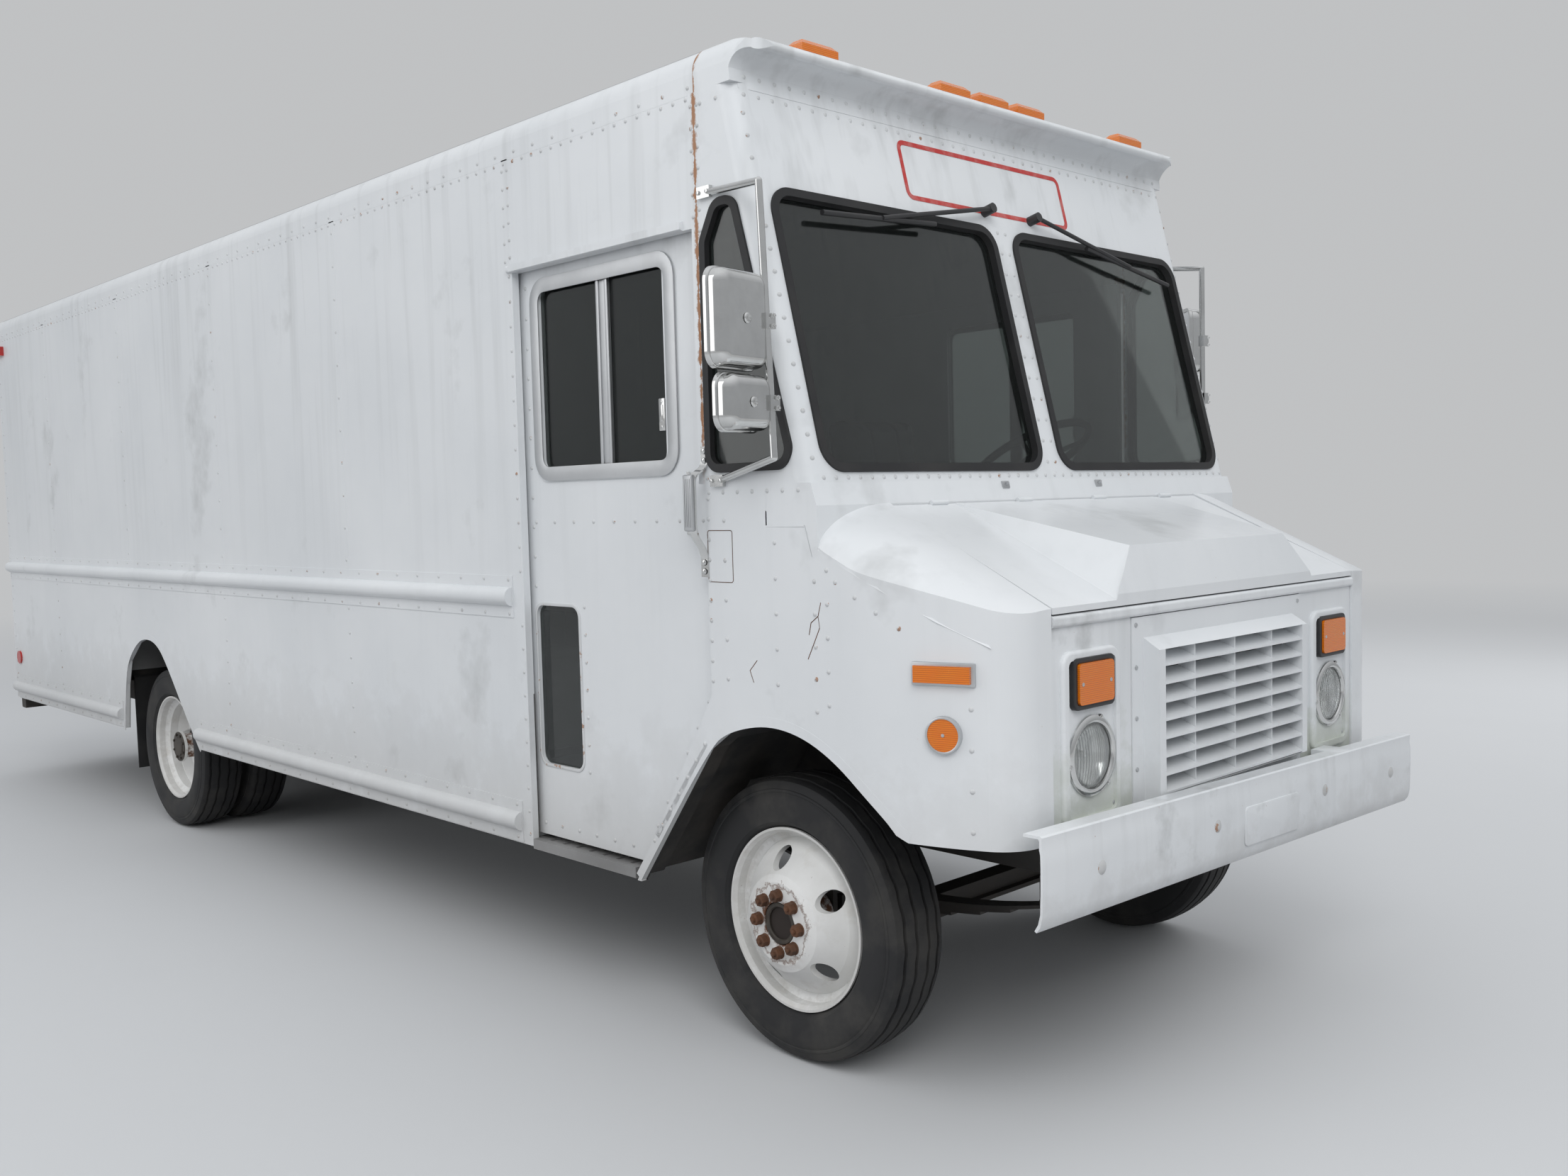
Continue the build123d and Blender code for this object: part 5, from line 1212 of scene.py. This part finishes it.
# Seams, overlaps and screws on the skins
seams = {
    "castFrom": -1180,
    "lines": [  # points in y and z, strip width, thickness
        ([(1085, 2376), (1085, 2735)], 34, 2.4), ([(138, 1070), (138, 2730)], 44, 2.2),
        ([(1085, 500), (1085, 2376)], 30, 2.2), ([(200, 2384), (1068, 2384)], 22, 2.0),
        ([(2310, 1386), (2310, 2735)], 40, 2.0), ([(3530, 1386), (3530, 2735)], 40, 2.0),
        ([(4750, 1386), (4750, 2735)], 40, 2.0), ([(5970, 1386), (5970, 2735)], 40, 2.0),
        ([(160, 2738), (2400, 2738), (4600, 2738), (6860, 2738)], 14, 4.0),
        ([(160, 1120), (165, 930), (480, 520)], 20, 1.8),
        ([(-110, 1624), (-110, 1544), (-255, 1544), (-278, 1465), (-303, 1438)], 6, 1.2),
    ],
    "fender": ([(-304, 1482), (-330, 1468), (-500, 1390), (-650, 1318), (-782, 1256)], 26, 1.4),
    "cracks": [[(-307, 1346), (-296, 1310), (-301, 1280), (-280, 1240), (-256, 1196)],
    [(-296, 1310), (-270, 1292), (-262, 1260)], [(-60, 1180), (-30, 1150), (-44, 1118)]],
    "ghost": (79, 1461, 104, 145, 8, 1.8), "nozzles": (-264, 229),
    "frameScrews": [(x, z) for x in (-458, 458) for z in (770, 880, 1015, 1150, 1262)],
    "bezelScrews": [(side * 672 + dx, z) for side in sides for dx, z in (
        (-104, 1190), (104, 1190), (-104, 812), (104, 812), (-112, 1000), (112, 1000))],
}


def addSeam(bm, skin, points, width, thickness):
    # laid on the skin: the line is cast sideways, drawn out and given a wall
    spots = [at(seams["castFrom"], y, z) for y, z in points]
    path = []
    for start, end in zip(spots, spots[1:]):
        count = max(1, round((end - start).length / 0.12))
        for step in range(count + 1):
            hit, normal, _, _ = skin.ray_cast(start.lerp(end, step / count), Vector((1, 0, 0)))
            if hit is None:
                continue
            if normal.x > 0:
                normal = -normal
            spot = hit + normal * 0.0004
            if not path or (spot - path[-1]).length > 0.004:
                path.append(spot)
    along = (path[-1] - path[0]).normalized()
    across = along.cross(toRight).normalized() * width / 1000
    if len(points) > 3 and abs(along.y) < 0.9:
        across = Vector((0, 0.7, 0.7)) * width / 1000
    bm.verts.ensure_lookup_table()
    addRibbon(bm, [spot - across / 2 for spot in path], across, thickness)


def makeSeams():
    skin = surfaceOf(["side_wall_right", "cab_lower", "cab_upper", "brow", "roof"])
    bm = bmesh.new()
    for points, width, thickness in seams["lines"]:
        addSeam(bm, skin, points, width, thickness)
    points, width, thickness = seams["fender"]
    addSeam(bm, surfaceOf(["fender_right"]), points, width, thickness)
    mirrored(bm)
    finishPiece("skin_seams", bm, whitePaint, "chassis")
    bm = bmesh.new()
    for points in seams["cracks"]:
        addSeam(bm, surfaceOf(["cab_lower", "fender_right"]), points, 2.6, 0.5)
    y, z, wide, high, radius, rim = seams["ghost"]
    addFrame(bm, sidePlace(-1083.4, y, z), wide, high, radius, rim, 0.5, 0.0)
    finishPiece("rust_marks", bm, rustySteel, "chassis")
    bm = bmesh.new()
    for x, z in seams["frameScrews"]:
        addRound(bm, at(x, -845, z), toFront, 7, 3.5, 5, 12, 1.0)
    for x, z in seams["bezelScrews"]:
        addRound(bm, at(x, -843.5, z), toFront, 6.5, 3.5, 5, 12, 1.0)
    for x in seams["nozzles"]:
        place = screenPlace(x, 1640, 0)
        addBox(bm, place, (34, 22, 12), 2.0)
        addRound(bm, place.translation, (place.to_3x3() @ Vector((0, 0.3, 1))).normalized(), 6, 16, 4, 12,
            1.0)
    finishPiece("panel_screws", bm, bareAluminium, "chassis")


makeSeams()

# Smooth lips on the wheel arches, following the skin's plan curve
lips = {
    "width": 28, "wall": 2.2, "proud": 0.4, "radius": 925,
    "front": [(484, 474), (153, 912), (60, 975), (-125, 1010), (-312, 959), (-505, 811), (-540, 772),
    (-575, 757)],
    "rear": [(-600, 470), (-438, 630), (-195, 894), (-80, 970), (60, 985), (180, 955), (330, 850),
    (385, 720), (430, 470)],
}


def cutCorners(points, rounds=3):
    for _ in range(rounds):
        smooth = [points[0]]
        for a, b in zip(points, points[1:]):
            smooth += [a.lerp(b, 0.25), a.lerp(b, 0.75)]
        points = smooth + [points[-1]]
    return points


def makeLips():
    bm = bmesh.new()
    radius = lips["radius"]
    for y0, corners in ((0, lips["front"]), (van["wheelbase"], lips["rear"])):
        curve = cutCorners([Vector((y0 + y, z)) for y, z in corners])
        rows = []
        for index, point in enumerate(curve):
            along = (curve[min(index + 1, len(curve) - 1)] - curve[max(index - 1, 0)]).normalized()
            away = Vector((along.y, -along.x)) * lips["width"]
            if away.dot(point - Vector((y0 - 40, 500))) < 0:
                away = -away
            row = []
            for spot in (point, point + away):
                bend = min(spot.x - van["curveY"], 0)
                across = van["curveX"] + math.sqrt(radius ** 2 - bend ** 2) + lips["proud"]
                row.append(bm.verts.new(at(-across, spot.x, spot.y)))
            rows.append(row)
        faces = [bm.faces.new((a[0], a[1], b[1], b[0])) for a, b in zip(rows, rows[1:])]
        drawOut(bm, faces, (lips["wall"], 0, 0))
    mirrored(bm)
    finishPiece("arch_lips", bm, whitePaint, "chassis")


makeLips()

# Strip over the joint between the brow and the front cap
browStrip = {"z": 2731, "half": 1052, "width": 24, "wall": 2.0}


def makeBrowStrip():
    skin = surfaceOf(["cab_upper", "brow"])
    bm = bmesh.new()
    path = []
    half, z = browStrip["half"], browStrip["z"]
    for step in range(57):
        x = half * (step / 28 - 1)
        hit, normal, _, _ = skin.ray_cast(at(x, screenY(z) - 120, z), toRear)
        if hit is not None and (not path or abs(hit.y - path[-1].y) < 0.03):
            path.append(hit + Vector((0, -0.0015, 0)))
    tall = Vector((0, 0.2465, 1)).normalized() * browStrip["width"] / 1000
    addRibbon(bm, [spot - tall / 2 for spot in path], tall, browStrip["wall"])
    finishPiece("brow_strip", bm, whitePaint, "chassis")


makeBrowStrip()

# Worn red pinstripe on the front cap, a plain rectangle of our own
pinstripe = {"x": -20, "z": 2588, "wide": 830, "high": 190, "radius": 30, "line": 15, "off": 0.4}


def makePinstripe():
    bm = bmesh.new()
    addFrame(bm, screenPlace(pinstripe["x"], pinstripe["z"], pinstripe["off"]), pinstripe["wide"],
        pinstripe["high"], pinstripe["radius"], pinstripe["line"], 0.6, 0.0)
    finishPiece("front_pinstripe", bm, redPaint, "chassis")


makePinstripe()

# Rear doors: lock rod in its guides, grab handles, hinge bolts and glass
rear = {"rodX": -66, "rodY": 6925, "rod": (812, 2538), "guides": (850, 1250, 1760, 2480), "handleZ": 1330,
    "window": (-383.5, 2140, 440, 520),
    "face": 6909, "grab": (-330, 6944, 1150, 1410), "hinges": (1000, 1670, 2350),
    "hingeBolts": (-728, -680, -616), "panes": (6892.2, 6882.8)}


def makeRearFittings(side):
    bm = bmesh.new()
    if side < 0:
        addTube(bm, [at(rear["rodX"], rear["rodY"], z) for z in rear["rod"]], 9, 14)
        for z in rear["guides"]:
            addBlock(bm, (rear["rodX"] - 26, rear["face"], z - 16), (rear["rodX"] + 26, 6938, z + 16), 4.0)
            for offset in (-19, 19):
                addRound(bm, at(rear["rodX"] + offset, 6937, z), toRear, 5, 3, 4, 8, 0.8)
        z = rear["handleZ"]
        addBlock(bm, (rear["rodX"] - 20, rear["face"], z - 30), (rear["rodX"] + 20, 6942, z + 30), 5.0)
        addTube(bm, roundPath([at(rear["rodX"], 6936, z), at(rear["rodX"] - 60, 6948, z - 10),
            at(rear["rodX"] - 190, 6944, z - 26)], 30), 8, 12)
    x, y, low, high = rear["grab"]
    addTube(bm, roundPath([at(x, rear["face"], low), at(x, y, low), at(x, y, high),
        at(x, rear["face"], high)], 24), 8, 12)
    for z in rear["hinges"]:
        for x in rear["hingeBolts"]:
            addRound(bm, at(x, 6915, z), toRear, 7, 3.5, 5, 12, 1.0)
    finishSide("rear_door_fittings_", bm, stainless, "rear_door_", side)
    pane, gasket = bmesh.new(), bmesh.new()
    x, z, wide, high = rear["window"]
    addFrame(gasket, rearPlace(x, 6906, z), wide + 36, high + 36, 78, 26, 5, 2.0)
    for turned, y in zip((rearPlace, frontPlace), rear["panes"]):
        addFrame(pane, turned(x, y, z), wide - 2, high - 2, 59, 0, 4, 0.5)
    finishSide("rear_door_glass_", pane, darkGlass, "rear_door_", side)
    finishSide("rear_door_gasket_", gasket, blackRubber, "rear_door_", side)


for side in sides:
    makeRearFittings(side)
print("rear fittings set", round(time.time() - started, 1))

# Cab inside: gauges on the dash, and the seat's soft pieces
dials = {"x": 545, "z": 1492, "y": -106, "lean": 33,
    "places": [(-120, 0, 34), (-40, 4, 46), (60, 4, 46), (140, 0, 34)]}


def makeGauges():
    dark, bright = bmesh.new(), bmesh.new()
    lean = turnBy(180, "Z") @ turnBy(90 - dials["lean"], "X")
    panel = placeAt(dials["x"], dials["y"] + 14, dials["z"]) @ lean
    addFrame(dark, panel, 400, 120, 16, 0, 12, 3.0)
    for x, up, radius in dials["places"]:
        centre = panel @ (Vector((x, up, 12)) / 1000)
        out = (panel.to_3x3() @ Vector((0, 0, 1))).normalized()
        addSpun(bright, centre, out, [(radius - 3, 0), (radius - 3, 4), (radius, 5), (radius + 2, 3),
            (radius + 2, 0)], 28)
        addRound(bright, centre, out, 3, 3, 2, 10, 0.5)
    finishPiece("dash_cluster", dark, blackPlastic, "chassis")
    finishPiece("gauge_bezels", bright, stainless, "chassis")


makeGauges()

# Driver's seat: cushion and back swell as sewn vinyl pads on their pedestal
seat = {
    "x": 545, "y": 640, "cushion": ((-228, -228, 1232), (228, 228, 1328)),
    "back": (-223, 223, -50, 50, 12, 608), "backFoot": (890, 1325), "lean": -10,
    "voxel": 0.006, "pressure": 4.0, "frames": 20, "cap": 0.014,
    "channels": (-76, 76), "channelDepth": 7, "channelHalf": 9,
    # half width, half depth, from, to, bevel and its segments: column, tray and foot
    "pedestal": [(150, 180, 790, 1205, 10, 3), (190, 200, 1203, 1221, 6, 2), (172, 202, 790, 798, 3, 2)],
    # paths beside the middle: the two bars up the back, and the slide's handle
    "bars": [(190, 1212), (305, 1212), (349, 1552)], "slide": [(165, -190), (205, -215), (225, -150)],
}


def swell(piece, grip):
    # remesh, blow up with cloth, hold each point near its start, then keep the result
    remesh = piece.modifiers.new("remesh", "REMESH")
    remesh.mode = "VOXEL"
    remesh.voxel_size = seat["voxel"]
    applyModifiers(piece)
    start = [vert.co.copy() for vert in piece.data.vertices]
    pinned = piece.vertex_groups.new(name="held")
    pinned.add([index for index, co in enumerate(start) if grip(co)], 1.0, "REPLACE")
    cloth = piece.modifiers.new("cloth", "CLOTH")
    cloth.settings.use_pressure = True
    cloth.settings.uniform_pressure_force = seat["pressure"]
    cloth.settings.effector_weights.gravity = 0
    cloth.settings.vertex_group_mass = "held"
    scene = bpy.context.scene
    for number in range(1, seat["frames"] + 1):
        scene.frame_set(number)
    applyModifiers(piece)
    scene.frame_set(1)
    for vert, before in zip(piece.data.vertices, start):
        move = vert.co - before
        if move.length > seat["cap"]:
            vert.co = before + move.normalized() * seat["cap"]
    return piece


def applyModifiers(piece):
    graph = bpy.context.evaluated_depsgraph_get()
    mesh = bpy.data.meshes.new_from_object(piece.evaluated_get(graph))
    old = piece.data
    piece.modifiers.clear()
    piece.data = mesh
    bpy.data.meshes.remove(old)


def pressChannels(piece, turned, fromAxis):
    # sewn channels: points near each line move in along the pad's facing
    back = turned.inverted()
    for vert in piece.data.vertices:
        local = back @ vert.co
        near = min(abs(local.x * 1000 - cut) for cut in seat["channels"])
        if near < seat["channelHalf"]:
            depth = seat["channelDepth"] / 1000
            vert.co -= (turned.to_3x3() @ fromAxis) * depth * (1 - near / seat["channelHalf"]) ** 2


def makeSeat():
    x, y = seat["x"], seat["y"]
    low, high = seat["cushion"]
    bm = bmesh.new()
    addBlock(bm, (x + low[0], y + low[1], low[2]), (x + high[0], y + high[1], high[2]), 38, 4)
    cushion = finishPiece("seat_cushion", bm, blackVinyl, "chassis", 60)
    floor = at(0, 0, low[2] + 14).z
    swell(cushion, lambda co: co.z < floor)
    flat = placeAt(x, y, (low[2] + high[2]) / 2)
    pressChannels(cushion, flat, Vector((0, 0, 1)))
    x0, x1, y0, y1, z0, z1 = seat["back"]
    bm = bmesh.new()
    leaned = placeAt(x, *seat["backFoot"]) @ turnBy(seat["lean"], "X")
    shape = leaned @ Matrix.Translation(Vector(((x0 + x1) / 2, (y0 + y1) / 2, (z0 + z1) / 2)) / 1000)
    addBox(bm, shape, (x1 - x0, y1 - y0, z1 - z0), 42, 4)
    back = finishPiece("seat_back", bm, blackVinyl, "chassis", 60)
    upright = leaned.inverted()
    swell(back, lambda co: (upright @ co).y > 0.036)
    pressChannels(back, leaned, toFront)
    for pad in (cushion, back):
        smooth = pad.modifiers.new("smooth", "SUBSURF")
        smooth.levels = smooth.render_levels = 1
        applyModifiers(pad)
        pad.data.shade_smooth()
        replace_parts(pad, "driver_seat")
    bm = bmesh.new()
    for wide, deep, low, high, bevel, segments in seat["pedestal"]:
        addBlock(bm, (x - wide, y - deep, low), (x + wide, y + deep, high), bevel, segments)
    for dx in (-162, 162):
        for dy in (-150, 150):
            addRound(bm, at(x + dx, y + dy, van["floorZ"] + 8), Vector((0, 0, 1)), 9, 6, 8, 6, 1.0)
    for dx in (-150, 150):
        addTube(bm, roundPath([at(x + dx, y + dy, z) for dy, z in seat["bars"]], 40), 10, 10)
    addTube(bm, roundPath([at(x + dx, y + dy, 1212) for dx, dy in seat["slide"]], 20), 7, 10)
    pedestal = finishPiece("seat_pedestal", bm, chassisBlack, "chassis")
    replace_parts(pedestal, "driver_seat")


makeSeat()
print("seat sewn", round(time.time() - started, 1))

# Floor, lights and camera
studio = {
    "floorLook": (0.62, 0.63, 0.64), "floorReal": (0.42, 0.42, 0.43), "backdrop": (0.66, 0.67, 0.68),
    "world": 0.8, "fadeFrom": 8.0, "fadeTo": 20.0,
    "lights": (  # name, place, size, power, aim
        ("keySoftbox", (-6.0, -9.0, 7.5), 6.0, 430, (0, -1.5, 1.2)),
        ("sideSoftbox", (-9.0, 3.0, 5.0), 7.0, 190, (0, 1.5, 1.2)),
        ("farSoftbox", (9.0, -4.0, 6.0), 6.0, 200, (0, 0, 1.2)),
    ),
}
shot = {"place": (-3.6036, -5.8062, 1.6152), "yaw": -43.9, "pitch": -3.7, "roll": -1.5, "lens": 31.59}


def makeStudio():
    finish, tree, shader = newFinish("studioFloor")
    path = addNode(tree, "ShaderNodeLightPath")
    seen = most(tree, path.outputs["Is Camera Ray"],
        most(tree, path.outputs["Is Glossy Ray"], path.outputs["Is Transmission Ray"]))
    tone = addMix(tree, addPatches(tree, 0.4, 0.3, 0.8, 0.3), studio["floorLook"], (0.56, 0.57, 0.58))
    link(tree, addMix(tree, seen, studio["floorReal"], tone), shader.inputs["Base Color"])
    shader.inputs["Roughness"].default_value = 0.9
    shader.inputs["Specular IOR Level"].default_value = 0.1
    # the far floor fades into the backdrop's own colour
    place = addNode(tree, "ShaderNodeVectorMath", operation="LENGTH")
    link(tree, objectPlace(tree), place.inputs[0])
    glow = addNode(tree, "ShaderNodeEmission", {"Color": (*studio["backdrop"], 1),
        "Strength": studio["world"]})
    blend = addNode(tree, "ShaderNodeMixShader")
    link(tree, addRange(tree, place.outputs["Value"], studio["fadeFrom"], studio["fadeTo"]),
        blend.inputs[0])
    link(tree, shader.outputs[0], blend.inputs[1])
    link(tree, glow.outputs[0], blend.inputs[2])
    link(tree, blend.outputs[0], tree.nodes["Material Output"].inputs["Surface"])
    bm = bmesh.new()
    bmesh.ops.create_grid(bm, x_segments=8, y_segments=8, size=60)
    mesh = bpy.data.meshes.new("studio_floor")
    bm.to_mesh(mesh)
    bm.free()
    mesh.materials.append(finish)
    floor = bpy.data.objects.new("studio_floor", mesh)
    bpy.context.scene.collection.objects.link(floor)
    world = bpy.data.worlds.new("studioSky")
    bpy.context.scene.world = world
    world.use_nodes = True
    tree = world.node_tree
    back = tree.nodes["Background"]
    path = addNode(tree, "ShaderNodeLightPath")
    place = addNode(tree, "ShaderNodeTexCoord").outputs["Generated"]
    split = splitPlace(tree, place)
    sky = addMix(tree, addRange(tree, split["Z"], -0.1, 0.9), (0.36, 0.375, 0.39), (1.0, 1.02, 1.05))
    seen = most(tree, path.outputs["Is Camera Ray"], path.outputs["Is Transmission Ray"])
    link(tree, addMix(tree, seen, sky, studio["backdrop"]), back.inputs["Color"])
    back.inputs["Strength"].default_value = studio["world"]
    for name, place, size, power, aim in studio["lights"]:
        light = bpy.data.lights.new(name, "AREA")
        light.shape = "SQUARE"
        light.size = size
        light.energy = power
        lamp = bpy.data.objects.new(name, light)
        lamp.location = place
        lamp.visible_glossy = name == "sideSoftbox"
        lamp.rotation_euler = (Vector(aim) - Vector(place)).to_track_quat("-Z", "Y").to_euler()
        bpy.context.scene.collection.objects.link(lamp)


def makeCamera():
    yaw, pitch, roll = (math.radians(shot[key]) for key in ("yaw", "pitch", "roll"))
    ahead = Vector((-math.sin(yaw) * math.cos(pitch), math.cos(yaw) * math.cos(pitch), math.sin(pitch)))
    right = ahead.cross(Vector((0, 0, 1))).normalized()
    up = right.cross(ahead)
    across = right * math.cos(roll) + up * math.sin(roll)
    upward = up * math.cos(roll) - right * math.sin(roll)
    lens = bpy.data.cameras.new("photoView")
    lens.lens = shot["lens"]
    lens.sensor_width = 36
    lens.sensor_fit = "HORIZONTAL"
    camera = bpy.data.objects.new("photoView", lens)
    turned = Matrix((across, upward, -ahead)).transposed().to_4x4()
    camera.matrix_world = Matrix.Translation(Vector(shot["place"])) @ turned
    bpy.context.scene.collection.objects.link(camera)
    bpy.context.scene.camera = camera


makeStudio()
makeCamera()
bpy.context.scene.view_settings.view_transform = "Standard"
print("studio ready", round(time.time() - started, 1))
